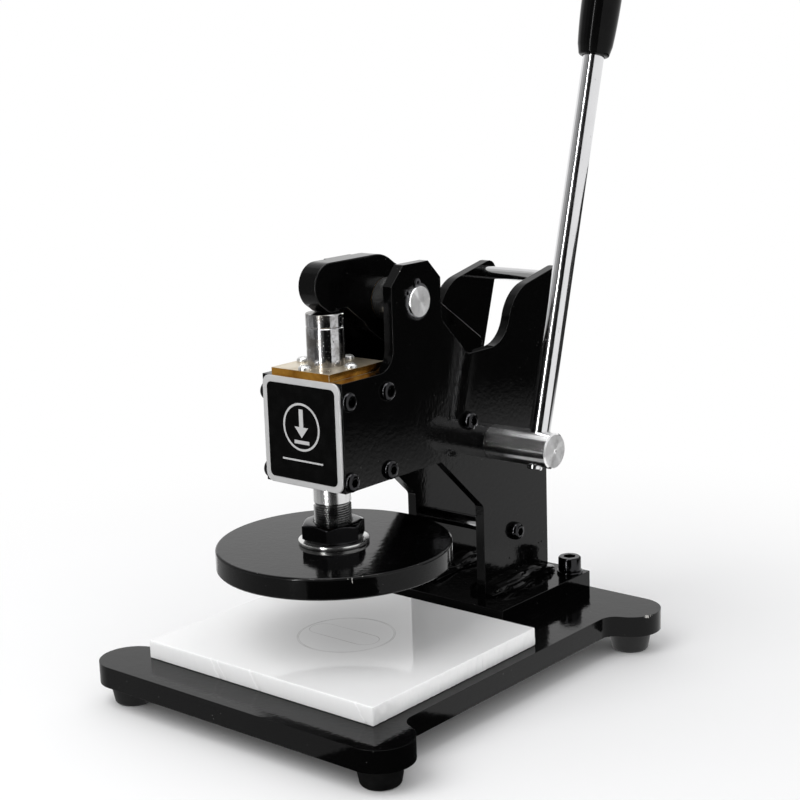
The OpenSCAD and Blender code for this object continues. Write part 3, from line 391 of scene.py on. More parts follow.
def old_cuts(tree, where):
    """Share of line where a disc and a slot in it were once cut out on the board's top."""
    hub = centre("cutting_board") + CUT_OFFSET
    hub.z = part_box("cutting_board")[1].z
    outlines = (
        (hub, CUT_RADIUS, 0), (hub, SECOND_CUT_RADIUS, 0),
        (hub + SLOT_OFFSET, SLOT_RADIUS, SLOT_HALF_LENGTH),
    )
    lines = []
    for middle, reach, half_length in outlines:
        beyond = vectors(tree, "ABSOLUTE", vectors(tree, "SUBTRACT", where, middle))
        beyond = vectors(tree, "SUBTRACT", beyond, (half_length, 0, 0))
        away = vectors(tree, "LENGTH", vectors(tree, "MAXIMUM", beyond))
        off = maths(tree, "ABSOLUTE", maths(tree, "SUBTRACT", away, reach))
        lines.append(spread(tree, off, 0.15 * MM, 0.45 * MM, 1, 0))
    worn = spread(tree, grain(tree, where, 45, 3), 0.35, 0.65, 0.35, 1)
    return maths(tree, "MULTIPLY", largest(tree, lines), worn)


def cutting_plastic():
    """Milky board: light scatters inside it, its cracks are crazed white and old cuts show on it."""
    made, tree, shader = material("board_milky", Subsurface_Weight=0.35, Subsurface_Scale=4 * MM)
    shader.inputs["Subsurface Radius"].default_value = (1.0, 1.0, 1.0)
    where = places(tree)
    cuts = old_cuts(tree, where)
    tone = blend(tree, grain(tree, where, 25, 5), (0.90, 0.905, 0.905, 1), (0.94, 0.94, 0.935, 1))
    tone = blend(tree, whitened_cracks(tree, where), tone, WHITE)
    tone = blend(tree, maths(tree, "MULTIPLY", cuts, 0.6), tone, (0.30, 0.30, 0.29, 1))
    dull = spread(tree, grain(tree, where, 90, 5), 0.3, 0.7, 0.03, 0.08)
    feed(tree, shader, Base_Color=tone, Roughness=dull)
    emboss(tree, shader, (cuts, -0.05 * MM), (grain(tree, where, 160, 2), 0.01 * MM))
    return made


def printed_panel():
    """Black enamel, faintly smeared."""
    made, tree, shader = material("panel_print", Specular_IOR_Level=0.06)
    where = places(tree)
    smear = spread(tree, grain(tree, where, 130, 6, 0.7), 0.45, 0.75, 0, 1)
    tone = blend(tree, smear, grey(0.001), grey(0.003))
    dull = spread(tree, smear, 0, 1, 0.12, 0.3)
    feed(tree, shader, Base_Color=tone, Roughness=dull)
    emboss(tree, shader, (grain(tree, where, 420, 2), 0.03 * MM))
    return made


finish_of = {
    "black_paint": black_paint("paint_face", chipping=0.80, rubbed=0.002),
    "rubber": soft_plastic(
        "rubber_worn", grey(0.003), grey(0.012), rough=0.4, patchy=0.16, depth=0.04 * MM, gloss=0.3,
    ),
    "board": cutting_plastic(),
    "chrome": bright_metal("chrome_plate", STEEL, rough=0.06, stretch=(1, 1, 0.04), dirt=0.66),
    "black_oxide": bright_metal(
        "oxide_black", (0.035, 0.035, 0.037, 1), rough=0.07, stretch=(1, 1, 0.2), dirt=0.74,
    ),
    "zinc": bright_metal(
        "zinc_plate", (0.82, 0.82, 0.81, 1), rough=0.18, stretch=(1, 0.1, 1), dirt=0.68,
    ),
    "dark_steel": bright_metal(
        "steel_dark", (0.26, 0.26, 0.27, 1), rough=0.22, stretch=(0.3, 1, 1), dirt=0.68,
    ),
    # Top of the brass plate: polished, and also painted light: paler and greyer than its sides, as the
    # light falls on it
    "brass": aged_brass(
        "brass_top_polished_and_lit", (0.80, 0.73, 0.60, 1), (0.56, 0.47, 0.33, 1), stain_scale=40, rough=0.30,
    ),
    "bronze": bright_metal(
        "bronze_bush", (0.55, 0.36, 0.19, 1), rough=0.3, stretch=(1, 1, 0.1), dirt=0.66,
    ),
    "aluminium": bright_metal(
        "aluminium_sheet", grey(0.57), rough=0.42, stretch=(0.05, 1, 1), dirt=0.76, metallic=0.35,
    ),
    "panel": printed_panel(),
    "grip": soft_plastic(
        "grip_phenolic", grey(0.002), grey(0.005), rough=0.03, patchy=0.04, depth=0.003 * MM, gloss=0.1,
    ),
}
edge_finish = {"black_paint": black_paint("paint_edge", chipping=0.70, rubbed=0.014)}
# Sides of the brass plate: browned patina, and also painted shade: darker and deeper orange than the
# top
brass_side_patina_and_shade = aged_brass(
    "brass_side_patina_and_shade", (0.88, 0.43, 0.07, 1), (0.36, 0.12, 0.008, 1), stain_scale=75, rough=0.12,
)
shaft_finish = turned_steel("steel_shaft", fresh=0.96, stained=0.74, rough=0.135)
end_finish = turned_steel("steel_end", fresh=0.86, stained=0.62, rough=0.46)
ram_finish = greasy_steel()
ram_satin = bright_metal("steel_satin", grey(0.80), rough=0.14, stretch=(1, 1, 0.06), dirt=0.72)
thread_finish = oily_thread()
screw_finish = bright_metal(
    "zinc_satin", (0.86, 0.86, 0.85, 1), rough=0.30, stretch=(1, 1, 1), dirt=0.74,
)
bar_finish = bright_metal("steel_bar", grey(0.90), rough=0.06, stretch=(0.05, 1, 1), dirt=0.74)


# Meshes


def loft(loops, ring=False):
    """Vertices and faces of a skin through loops of equal count; its ends are closed or meet."""
    count = len(loops[0])
    points = [point for loop in loops for point in loop]
    last = len(loops) if ring else len(loops) - 1
    faces = []
    for row in range(last):
        start, onward = row * count, (row + 1) % len(loops) * count
        for k in range(count):
            after = (k + 1) % count
            faces.append((start + k, start + after, onward + after, onward + k))
    if not ring:
        faces.append(tuple(reversed(range(count))))
        faces.append(tuple(range(len(points) - count, len(points))))
    return points, faces


def turned(rings, base, axis, turn=FINE_TURN, ring=False):
    """Skin round an axis; each ring is (radius, height), and a radius may depend on the angle."""
    facing = Vector(axis).to_track_quat("Z", "Y").to_matrix()
    loops = []
    for radius, height in rings:
        loop = []
        for k in range(turn):
            angle = 2 * math.pi * k / turn
            reach = radius(angle) if callable(radius) else radius
            flat = Vector((reach * math.cos(angle), reach * math.sin(angle), height))
            loop.append(Vector(base) + facing @ flat)
        loops.append(loop)
    return loft(loops, ring)


def hexagon(across):
    """Radius of a hexagon by angle, from its width across flats."""
    def radius(angle):
        return across / 2 / math.cos(angle % (math.pi / 3) - math.pi / 6)
    return radius


def within(limit, outline):
    return lambda angle: min(limit, outline(angle))


def knurl(radius, depth):
    """Radius by angle with every second point of the turn cut in."""
    return lambda angle: radius - depth * (round(angle / (2 * math.pi) * KNURL_TURN) % 2)


def rounded(radius, corner, low, high):
    """Profile of a plain cylinder with rounded edges, closed to the axis at both ends."""
    flat = radius - corner
    turns = quarter(5)
    up = [(flat + corner * math.sin(a), low + corner - corner * math.cos(a)) for a in turns]
    down = [(flat + corner * math.cos(a), high - corner + corner * math.sin(a)) for a in turns]
    return [(0, low)] + up + down + [(0, high)]


def stand_for(piece, node):
    """The piece is shown for this CAD node, on its body."""
    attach(piece, body_of[node])
    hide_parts(node)
    return piece


def smooth(mesh):
    mesh.shade_smooth()
    mesh.set_sharp_from_angle(angle=SMOOTH_ANGLE)


def shape(name, shells, slot):
    """One mesh object from several skins, with the slot's material."""
    mesh = bpy.data.meshes.new(name)
    work = bmesh.new()
    for points, faces in shells:
        corners = [work.verts.new(point) for point in points]
        for face in faces:
            work.faces.new([corners[k] for k in face])
    bmesh.ops.remove_doubles(work, verts=work.verts, dist=SAME_CORNER)
    bmesh.ops.recalc_face_normals(work, faces=work.faces)
    work.to_mesh(mesh)
    work.free()
    smooth(mesh)
    mesh.materials.append(finish_of[slot])
    made = bpy.data.objects.new(name, mesh)
    scene.collection.objects.link(made)
    return made


def everywhere(place, normal):
    return True


def refinish(piece, chosen, finish):
    """Another material on the faces whose place and direction are chosen."""
    mesh = piece.data
    mesh.materials.append(finish)
    for face in mesh.polygons:
        if chosen(face.center, face.normal):
            face.material_index = len(mesh.materials) - 1


def made_for(node, shells):
    return stand_for(shape(node + "_made", shells, slot_of[node]), node)


def dressed(node, width, segments=3):
    """The CAD piece again with its sharp edges rounded, and a worn edge finish where it is painted."""
    mesh = frame["nodes"][node].data.copy()
    mesh.name = node + "_dressed"
    work = bmesh.new()
    work.from_mesh(mesh)
    bmesh.ops.remove_doubles(work, verts=work.verts, dist=SAME_POINT)
    bmesh.ops.dissolve_limit(work, angle_limit=FLAT_ANGLE, verts=work.verts, edges=work.edges)
    work.to_mesh(mesh)
    work.free()
    mesh.materials.clear()
    slot = slot_of[node]
    mesh.materials.append(finish_of[slot])
    mesh.materials.append(edge_finish.get(slot, finish_of[slot]))
    mesh.polygons.foreach_set("material_index", [0] * len(mesh.polygons))
    smooth(mesh)
    made = bpy.data.objects.new(node + "_dressed", mesh)
    scene.collection.objects.link(made)
    bevel = made.modifiers.new("edge", "BEVEL")
    bevel.width = width
    bevel.segments = segments
    bevel.limit_method = "ANGLE"
    bevel.angle_limit = BEVEL_ANGLE
    bevel.material = 1
    level = made.modifiers.new("shade", "WEIGHTED_NORMAL")
    level.keep_sharp = True
    return stand_for(made, node)


def solids(node):
    """Lowest and highest corner of every separate solid in a CAD node."""
    work = bmesh.new()
    work.from_mesh(frame["nodes"][node].data)
    bmesh.ops.remove_doubles(work, verts=work.verts, dist=SAME_POINT)
    seen, boxes = set(), []
    for start in work.verts:
        if start in seen:
            continue
        group, front = [], [start]
        seen.add(start)
        while front:
            vert = front.pop()
            group.append(vert.co.copy())
            for edge in vert.link_edges:
                other = edge.other_vert(vert)
                if other not in seen:
                    seen.add(other)
                    front.append(other)
        low = Vector([min(point[k] for point in group) for k in range(3)])
        high = Vector([max(point[k] for point in group) for k in range(3)])
        boxes.append((low, high))
    work.free()
    return boxes


# Frame of the press


def button_bolt(low, high, plate_face):
    """Domed head with a hexagon socket, lying on a side plate."""
    side = 1 if low.x + high.x > 0 else -1
    middle = (low + high) / 2
    tip = max(abs(low.x), abs(high.x))
    radius, rise = (high.z - low.z) / 2, tip - plate_face
    socket = hexagon(0.42 * 2 * radius)
    crown, skirt, sunk = 0.58 * radius, 0.16 * rise, 0.2 * MM
    rings = [(0, -sunk), (radius - sunk, -sunk), (radius, 0.05 * MM), (radius, skirt)]
    for a in quarter(6, first=1):
        rings.append((crown + (radius - crown) * math.cos(a), skirt + (rise - skirt) * math.sin(a)))
    rings += [(within(0.5 * radius, socket), rise), (socket, 0.96 * rise)]
    rings += [(socket, 0.3 * rise), (0, 0.15 * rise)]
    return turned(rings, (side * plate_face, middle.y, middle.z), (side, 0, 0))


def cap_screw(low, high, seat):
    """Cylinder head with a knurled side and a hexagon socket."""
    middle = (low + high) / 2
    radius, rise = (high.x - low.x) / 2, high.z - seat
    socket = hexagon(radius)
    side = knurl(radius, 0.10 * MM)
    foot, edge = 0.5 * MM, 0.9 * MM
    rings = [(0, 0), (radius - foot, 0), (side, foot), (side, rise - edge)]
    rings += [(radius - 0.35 * MM, rise - edge / 2), (radius - edge, rise)]
    rings += [(within(0.56 * radius, socket), rise), (socket, rise - 0.35 * MM)]
    rings += [(socket, 0.5 * rise), (0, 0.4 * rise)]
    return turned(rings, (middle.x, middle.y, seat), UP, KNURL_TURN)


def flat_ring(low, high, hole, edge):
    """Washer with rounded outer edges."""
    radius, rise = (high.x - low.x) / 2, high.z - low.z
    rings = [(hole, edge), (hole + edge, 0), (radius - edge, 0), (radius - 0.3 * edge, 0.3 * edge)]
    rings += [(radius, edge), (radius, rise - edge), (radius - 0.3 * edge, rise - 0.3 * edge)]
    rings += [(radius - edge, rise), (hole + edge, rise), (hole, rise - edge)]
    return turned(rings, ((low.x + high.x) / 2, (low.y + high.y) / 2, low.z), UP, ring=True)


def rubber_foot(node):
    """Moulded foot: flared skirt, rounded tread, hollow for the screw."""
    low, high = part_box(node)
    top, rise = (high.x - low.x) / 2, high.z - low.z
    mouth, edge, flare = 0.8 * MM, 2.5 * MM, top - FOOT_TREAD
    rings = [(FOOT_HOLE, rise), (FOOT_HOLE, 0.5 * rise)]
    rings += [(FOOT_HOLLOW, 0.5 * rise), (FOOT_HOLLOW, mouth), (FOOT_HOLLOW + mouth, 0)]
    for a in quarter(6):
        rings.append((FOOT_TREAD - edge + edge * math.sin(a), edge - edge * math.cos(a)))
    rings += [(FOOT_TREAD + 0.35 * flare, 0.4 * rise), (FOOT_TREAD + 0.8 * flare, 0.78 * rise)]
    rings += [(top - 0.05 * MM, 0.93 * rise), (top, 0.96 * rise), (top - 0.5 * MM, rise)]
    middle = centre(node)
    made_for(node, [turned(rings, (middle.x, middle.y, low.z), UP, ring=True)])


def weld_bead(corner_x, away, start_y, end_y, floor_z, leg, seed):
    """Uneven ribbon of weld along a column's foot: its toes wander and long strokes run along it."""
    steps, sunk = 200, 0.3 * MM
    loops = []
    for i in range(steps + 1):
        t = i / steps
        y = start_y + (end_y - start_y) * t
        ends = 0.55 + 0.45 * min(1.0, 9 * t, 9 * (1 - t))
        wide = leg * ends * (1.65 + 1.0 * noise.noise(Vector((seed, y / (21 * MM), 0.3))))
        tall = leg * ends * (1.25 + 0.9 * noise.noise(Vector((seed, y / (18 * MM), 5.1))))
        loop = [Vector((corner_x - away * sunk, y, floor_z - sunk))]
        for a in quarter(14):
            bow = math.sin(2 * a)
            stroke = noise.noise(Vector((seed + 2.6 * a, y / (22 * MM) + 1.2 * a, 2.4)))
            lump = noise.noise(Vector((seed + 2 * a, y / (6 * MM), 8.2)))
            swell = 0.88 + (0.14 + 0.36 * stroke + 0.05 * lump) * bow
            side, rise = wide * swell * math.cos(a), tall * swell * math.sin(a)
            loop.append(Vector((corner_x + away * side, y, floor_z + rise)))
        loops.append(loop)
    return loft(loops)


def spatter(chance, box_low, box_high, facing, count):
    """Small paint-covered beads thrown off by the welding."""
    shells = []
    for _ in range(count):
        spot = Vector([chance.uniform(box_low[k], box_high[k]) for k in range(3)])
        radius = chance.uniform(0.25, 0.75) * MM
        rings = [(radius, -0.3 * radius)]
        rings += [(radius * math.cos(a), 0.75 * radius * math.sin(a)) for a in quarter(4, first=1)]
        shells.append(turned(rings, spot, facing, 12))
    return shells


def welds():
    low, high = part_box("side_plate_right")
    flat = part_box("bracket_plate")[1].z
    bead_low, bead_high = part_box("weld_beads")
    start, end, leg = bead_low.y, bead_high.y, bead_high.z - bead_low.z
    shells = []
    for side in (-1, 1):
        for face, away in ((low.x, -side), (high.x, side)):
            seed = 7.3 * side + 150 * face
            shells.append(weld_bead(side * face, away, start, end, bead_low.z, leg, seed))
    chance = random.Random(11)
    for side in (-1, 1):
        near, far = sorted((side * (high.x + leg), side * (high.x + 3.2 * leg)))
        shells += spatter(chance, (near, start, flat), (far, end, flat), UP, 26)
        wall, foot, top = side * high.x, flat + leg, flat + 4 * leg
        shells += spatter(chance, (wall, start, foot), (wall, end, top), (side, 0, 0), 18)
    made_for("weld_beads", shells)


# Outlines of the sign on the nameplate, in widths of its panel from the panel's middle
SIGN_ARROW = (
    (-0.03, 0.27), (0.03, 0.27), (0.03, 0.07), (0.10, 0.07), (0, -0.05), (-0.10, 0.07), (-0.03, 0.07),
)
SIGN_BAR = ((-0.11, -0.08), (0.11, -0.08), (0.11, -0.12), (-0.11, -0.12))
SIGN_RULE = ((-0.30, -0.30), (0.30, -0.30), (0.30, -0.32), (-0.30, -0.32))
SIGN_RING_OUTER, SIGN_RING_INNER, SIGN_RING_RISE = 0.27, 0.245, 0.07


def nameplate():
    """Bare plate with a black panel, and on it a plain sign: an arrow pressing down in a ring."""
    dressed("nameplate", 0.5 * MM)
    dressed("nameplate_panel", 0.12 * MM, 2)
    low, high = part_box("nameplate_panel")
    middle, width = (low + high) / 2, high.x - low.x
    front, skin = low.y, 0.05 * MM
    shells = []
    for outline in (SIGN_ARROW, SIGN_BAR, SIGN_RULE):
        loops = []
        for y in (front + skin, front - skin):
            loop = [Vector((middle.x + u * width, y, middle.z + v * width)) for u, v in outline]
            loops.append(loop)
        shells.append(loft(loops))
    outer, inner = SIGN_RING_OUTER * width, SIGN_RING_INNER * width
    ring = [(inner, -skin), (outer, -skin), (outer, skin), (inner, skin)]
    hub = (middle.x, front, middle.z + SIGN_RING_RISE * width)
    shells.append(turned(ring, hub, (0, -1, 0), ring=True))
    sign = shape("press_sign", shells, "aluminium")
    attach(sign, body_of["nameplate"])


def fasteners():
    plate_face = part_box("side_plate_right")[1].x
    for node in ("head_bolts", "tie_bolts"):
        made_for(node, [button_bolt(low, high, plate_face) for low, high in solids(node)])
    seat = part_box("bracket_washers")[1].z
    screws = [cap_screw(low, high, seat) for low, high in solids("bracket_screws")]
    made_for("bracket_screws", screws)
    washers = [flat_ring(low, high, WASHER_HOLE, 0.3 * MM) for low, high in solids("bracket_washers")]
    made_for("bracket_washers", washers)


def guide_plate():
    brass = dressed("brass_plate", 0.4 * MM)
    # The side faces take the shaded copy of the brass, the top keeps the lit one
    refinish(brass, lambda place, normal: abs(normal.z) < 0.5, brass_side_patina_and_shade)
    screws = dressed("brass_screws", 0.15 * MM)
    refinish(screws, everywhere, screw_finish)


def cross_bars():
    bar = dressed("top_cross_bar", 0.3 * MM)
    refinish(bar, everywhere, bar_finish)
    for node in ("mid_tie_bar", "pivot_spacers"):
        dressed(node, 0.15 * MM, 2)
    tie = dressed("lower_tie_bar", 0.15 * MM, 2)
    refinish(tie, everywhere, finish_of["chrome"])


def pivot():
    """The rocker's pin with turned and centred ends, and its snap rings."""
    clips = dressed("pivot_circlips", 0.15 * MM, 2)
    refinish(clips, everywhere, finish_of["dark_steel"])
    low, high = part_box("pivot_pin")
    middle, half = centre("pivot_pin"), high.x
    radius, edge = (high.z - low.z) / 2, 1.0 * MM
    end = [(0, -0.5 * MM), (1.6 * MM, 0), (radius - edge, 0)]
    end += [(radius - 0.3 * edge, -0.3 * edge), (radius, -edge)]
    rings = [(r, -half - h) for r, h in end] + [(r, half + h) for r, h in reversed(end)]
    pin = made_for("pivot_pin", [turned(rings, (0, middle.y, middle.z), ACROSS)])
    refinish(pin, lambda place, normal: abs(place.x) > half - 0.6 * MM, end_finish)


def build_frame():
    for node, width in PAINTED_EDGES.items():
        dressed(node, width * MM)
    for node in FEET:
        rubber_foot(node)
    fasteners()
    welds()
    nameplate()
    guide_plate()
    cross_bars()
    pivot()


# Moving parts


def thread_ridge(base, low, high, radius, depth, pitch):
    """One helical ridge round a core, run out at both ends."""
    per_turn = 72
    run_out = 0.5 * per_turn
    count = round((high - low) / pitch * per_turn)
    root = radius - depth - 0.05 * MM
    loops = []
    for i in range(count + 1):
        angle = 2 * math.pi * i / per_turn
        z = low + (high - low) * i / count
        fade = min(1.0, i / run_out, (count - i) / run_out)
        crest = radius - depth * (1 - fade)
        loop = []
        for reach, lift in ((root, -0.44), (crest, -0.07), (crest, 0.07), (root, 0.44)):
            point = Vector((reach * math.cos(angle), reach * math.sin(angle), z + lift * pitch))
            loop.append(Vector(base) + point)
        loops.append(loop)
    return loft(loops)


def build_ram():
    low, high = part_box("ram")
    axis = centre("ram")
    foot = (axis.x, axis.y, 0)
    depth = 0.61 * THREAD_PITCH
    core, shoulder = RAM_RADIUS - depth, THREAD_TOP + depth
    block_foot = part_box("head_block")[0].z
    tip, neck = 0.8 * MM, RAM_RADIUS - 0.35 * MM
    rings = [(0, low.z), (core - tip, low.z), (core, low.z + tip)]
    rings += [(core, THREAD_TOP - 0.5 * THREAD_PITCH), (core, THREAD_TOP)]
    rings += [(RAM_RADIUS - 0.15 * MM, shoulder), (RAM_RADIUS, shoulder + 0.2 * MM)]
    rings += [(RAM_RADIUS, block_foot), (RAM_RADIUS, high.z - 0.6 * MM)]
    rings += [(neck, high.z - 0.2 * MM), (neck, high.z), (0, high.z)]
    ridge_low, ridge_high = low.z + THREAD_PITCH, THREAD_TOP - 0.4 * THREAD_PITCH
    ridge = thread_ridge(foot, ridge_low, ridge_high, RAM_RADIUS, depth, THREAD_PITCH)
    ram = made_for("ram", [turned(rings, foot, UP), ridge])
    refinish(ram, lambda place, normal: place.z > block_foot, ram_finish)
    refinish(ram, lambda place, normal: place.z <= block_foot, ram_satin)
    refinish(ram, lambda place, normal: place.z < THREAD_TOP + 0.6 * depth, thread_finish)
    cap_low, cap_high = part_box("ram_cap")
    profile = rounded(RAM_RADIUS, 0.8 * MM, cap_low.z, cap_high.z)
    cap = made_for("ram_cap", [turned(profile, foot, UP)])
    refinish(cap, everywhere, ram_finish)


def build_spring():
    """Return spring of round wire, on a mesh of its own."""
    low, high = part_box("return_spring")
    axis = centre("ram")
    per_turn, sides = 48, 12
    reach, length = (high.x - low.x) / 2 - SPRING_WIRE, high.z - low.z
    count = SPRING_TURNS * per_turn
    loops = []
    for i in range(count + 1):
        angle = 2 * math.pi * i / per_turn
        rise = low.z + SPRING_WIRE + (length - 2 * SPRING_WIRE) * i / count
        loop = []
        for k in range(sides):
            b = 2 * math.pi * k / sides
            out = reach + SPRING_WIRE * math.cos(b)
            x, y = axis.x + out * math.cos(angle), axis.y + out * math.sin(angle)
            loop.append(Vector((x, y, rise + SPRING_WIRE * math.sin(b))))
        loops.append(loop)
    made = made_for("return_spring", [loft(loops)])
    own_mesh(made)


def build_press_plate():
    dressed("press_plate", 0.45 * MM)
    low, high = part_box("plate_washer")
    made_for("plate_washer", [flat_ring(low, high, RAM_BORE, 0.4 * MM)])
    low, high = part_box("lock_nut")
    middle, rise = (low + high) / 2, high.z - low.z
    half = NUT_ACROSS / 2
    body, corner = hexagon(NUT_ACROSS), half / math.cos(math.pi / 6)
    face, drop = 0.97 * half, (corner - half) * math.tan(NUT_CHAMFER)
    mouth, top_mouth = 0.8 * MM, 0.9 * MM
    rings = [(RAM_BORE, mouth), (RAM_BORE + mouth, 0)]
    cut = [k / 6 for k in range(7)]
    rings += [(within(face + s * (corner - face), body), s * drop) for s in cut]
    rings += [(within(corner - s * (corner - face), body), rise - drop + s * drop) for s in cut]
    rings += [(RAM_BORE + top_mouth, rise), (RAM_BORE, rise - top_mouth)]
    made_for("lock_nut", [turned(rings, (middle.x, middle.y, low.z), UP, ring=True)])


def grip_rings(hold):
    """Barrel grip with a rounded lip below, a belly and a domed end, bored for the rod."""
    bore, mouth, lip = ROD_RADIUS + GRIP_ROOM, 0.8 * MM, 2 * MM
    dome = GRIP_TOP / 2
    barrel, belly, fullness, steps = GRIP_LENGTH - dome, 0.8, 0.75, 26
    rings = [(0, hold), (bore, hold), (bore, mouth), (ROD_RADIUS + 0.6 * MM, 0)]
    for a in quarter(5):
        rings.append((GRIP_LOW / 2 - lip + lip * math.sin(a), lip - lip * math.cos(a)))
    for k in range(2, steps):
        t = k / steps
        ends = GRIP_LOW + (GRIP_TOP - GRIP_LOW) * t
        bulge = GRIP_MIDDLE - (GRIP_LOW + GRIP_TOP) / 2
        swell = bulge * math.sin(math.pi * t ** belly) ** fullness
        rings.append(((ends + swell) / 2, barrel * t))
    rings += [(dome * math.cos(a), barrel + dome * math.sin(a)) for a in quarter(12)]
    return rings


def build_lever():
    low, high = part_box("lever_shaft")
    axis = centre("lever_shaft")
    radius, half, edge = (high.z - low.z) / 2, (high.x - low.x) / 2, 1 * MM
    end = [(0, -1.4 * MM), (1.1 * MM, -0.6 * MM), (1.5 * MM, 0), (radius - edge, 0), (radius, -edge)]
    rings = [(r, low.x - h) for r, h in end] + [(r, high.x + h) for r, h in reversed(end)]
    shaft = made_for("lever_shaft", [turned(rings, (0, axis.y, axis.z), ACROSS)])
    refinish(shaft, everywhere, shaft_finish)
    refinish(shaft, lambda place, normal: abs(place.x - axis.x) > half - 0.3 * MM, end_finish)
    along = Vector((0, math.sin(LEVER_LEAN), math.cos(LEVER_LEAN)))
    root = Vector((high.x - ROD_INSET, axis.y, axis.z))
    tail, tip, step, top = radius + 2 * MM, 0.6 * MM, radius - 3 * MM, ROD_REACH + ROD_HOLD
    rod = [(0, -tail), (ROD_SPIGOT - tip, -tail), (ROD_SPIGOT, -tail + tip), (ROD_SPIGOT, step)]
    rod += [(ROD_RADIUS, step), (ROD_RADIUS, top), (0, top)]
    made_for("lever_rod", [turned(rod, root, along)])
    grip = grip_rings(ROD_HOLD + GRIP_ROOM)
    made_for("lever_grip", [turned(grip, root + along * ROD_REACH, along)])
    for node in ("cam", "cam_pin", "shaft_sleeves"):
        dressed(node, 0.3 * MM, 2)


def board_edge(low, high, inset, roughness, z):
    """One loop round the board: sharp corners, sides left rough by the saw, cracks in the front."""
    corner, pitch, seed = 0.4 * MM, 1.0 * MM, 3.7
    fine, tall, broad = 2.2 * MM, 5 * MM, 14 * MM
    rise = (z - low.z) / (high.z - low.z)
    steps = round((high.x - low.x) / pitch)
    x0, x1, y0, y1 = low.x + inset, high.x - inset, low.y + inset, high.y - inset
    sides = (
        ("front", (x0, y0), (x1, y0)), ("right", (x1, y0), (x1, y1)),
        ("rear", (x1, y1), (x0, y1)), ("left", (x0, y1), (x0, y0)),
    )
    loop = []
    for name, (ax, ay), (bx, by) in sides:
        length = math.hypot(bx - ax, by - ay)
        ux, uy = (bx - ax) / length, (by - ay) / length
        torn = 3.2 if name == "right" else 1
        cracks = BOARD_CRACKS if name == "front" else ()
        for k in range(steps):
            s = corner + (length - 2 * corner) * k / (steps - 1)
            x, y = ax + ux * s, ay + uy * s
            rough = torn * roughness * noise.noise(Vector((x / fine, y / fine, seed + z / tall)))
            bite = noise.noise(Vector((x / broad, y / broad, seed)))
            rough -= 3 * roughness * max(0.0, bite - 0.42)
            for start, width, depth in cracks:
                off = abs(s - start * MM - CRACK_LEAN * (1 - rise)) / (width * MM)
                rough -= 0.5 * depth * MM * max(0.0, 1 - off) * (1.1 - rise)
            loop.append(Vector((x + uy * rough, y - ux * rough, z)))
    return loop


def build_board():
    low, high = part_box("cutting_board")
    loops = []
    for inset, roughness, rise in BOARD_LOOPS:
        loops.append(board_edge(low, high, inset * MM, roughness * MM, low.z + rise * MM))
    board = made_for("cutting_board", [loft(loops)])
    for face in board.data.polygons:
        face.use_smooth = abs(face.normal.z) < 0.99


def build_moving():
    build_ram()
    build_spring()
    build_press_plate()
    build_lever()
    build_board()
    dressed("rocker_arm", 0.8 * MM)


def paint_kept():
    """Every CAD piece that stays in sight gets its slot's material."""
    for node, piece in frame["nodes"].items():
        if piece.hide_render:
            continue
        for place in piece.material_slots:
            place.material = finish_of[slot_of[node]]


# Studio

CAMERA_SPOT = Vector((0.6988, -0.8194, 0.4198))
CAMERA_AZIMUTH, CAMERA_ELEVATION, CAMERA_ROLL = 40.135, 11.807, -1.851
CAMERA_SENSOR, CAMERA_LENS = 36, 76.085
CAMERA_SHIFT_X, CAMERA_SHIFT_Y = -0.0062, -0.0217

FLOOR_RADIUS = 9.0
FLOOR_SHADED, FLOOR_WHITE = 0.19, 0.60
# Cards that stand round the press, and mats on the floor, seen by reflections alone. Their angles
# are in degrees from the camera's side; then a card's glow, or a mat's outer radius and its glow.
CARD_RADIUS, CARD_HEIGHT = 0.50, 1.1
CARDS = (
    ("card_rear_left", -135, -98, 0.48), ("card_far_left", -98, -66, 0.28),
    ("card_left", -66, -41, 0.10), ("strip_left", -41, -28, 1.6),
    ("card_near_left", -28, -20, 0.22), ("card_front_left", -20, -10, 0.06),
    ("card_front", -10, 26, 0.006),
)
LAMP_START, LAMP_END, LAMP_RADIUS, LAMP_GLOW = -35.4, -33.6, 0.49, 30
LOW_CARDS = (("card_right", 80, 98, 0.50), ("card_far_right", 98, 150, 0.66))
LOW_CARD_HEIGHT, LOW_CARD_GLOW, LOW_CARD_FADE = 0.26, 0.03, 0.06
MAT_HEIGHT, MAT_INNER = 0.001, 0.10
MATS = (
    ("mat_left", -130, -25, 0.50, 0.5), ("mat_front", -25, 28, 0.50, 0.02),
    ("mat_right", 28, 150, 0.30, 0.95),
)
ABOVE_HEIGHT, ABOVE_INNER, ABOVE_OUTER, ABOVE_GLOW = 0.95, 0.02, 0.30, 4.5


def studio_floor():
    """Pale floor: real shading near the press, plain white farther out for the eye and reflections."""
    mesh = bpy.data.meshes.new("studio_floor")
    work = bmesh.new()
    bmesh.ops.create_circle(work, cap_ends=True, radius=FLOOR_RADIUS, segments=96)
    work.to_mesh(mesh)
    work.free()
    made, tree = bare_material("floor_pale")
    where = places(tree)
    mottled = blend(tree, grain(tree, where, 6, 3), grey(0.90), grey(0.92))
    matt = add(tree, "BsdfDiffuse", {"Color": mottled}).outputs[0]
    white = add(tree, "Emission", {"Color": WHITE, "Strength": 1.0}).outputs[0]
    away = vectors(tree, "LENGTH", where)
    far = spread(tree, away, FLOOR_SHADED, FLOOR_WHITE, 0, 1, interpolation_type="SMOOTHSTEP")
    path = add(tree, "LightPath").outputs
    seen = [path["Is Camera Ray"], path["Is Glossy Ray"], path["Is Transmission Ray"]]
    share = maths(tree, "MULTIPLY", largest(tree, seen), far)
    mix = add(tree, "MixShader", {0: share, 1: matt, 2: white})
    add(tree, "OutputMaterial", {"Surface": mix.outputs[0]})
    mesh.materials.append(made)
    floor = bpy.data.objects.new("studio_floor", mesh)
    scene.collection.objects.link(floor)


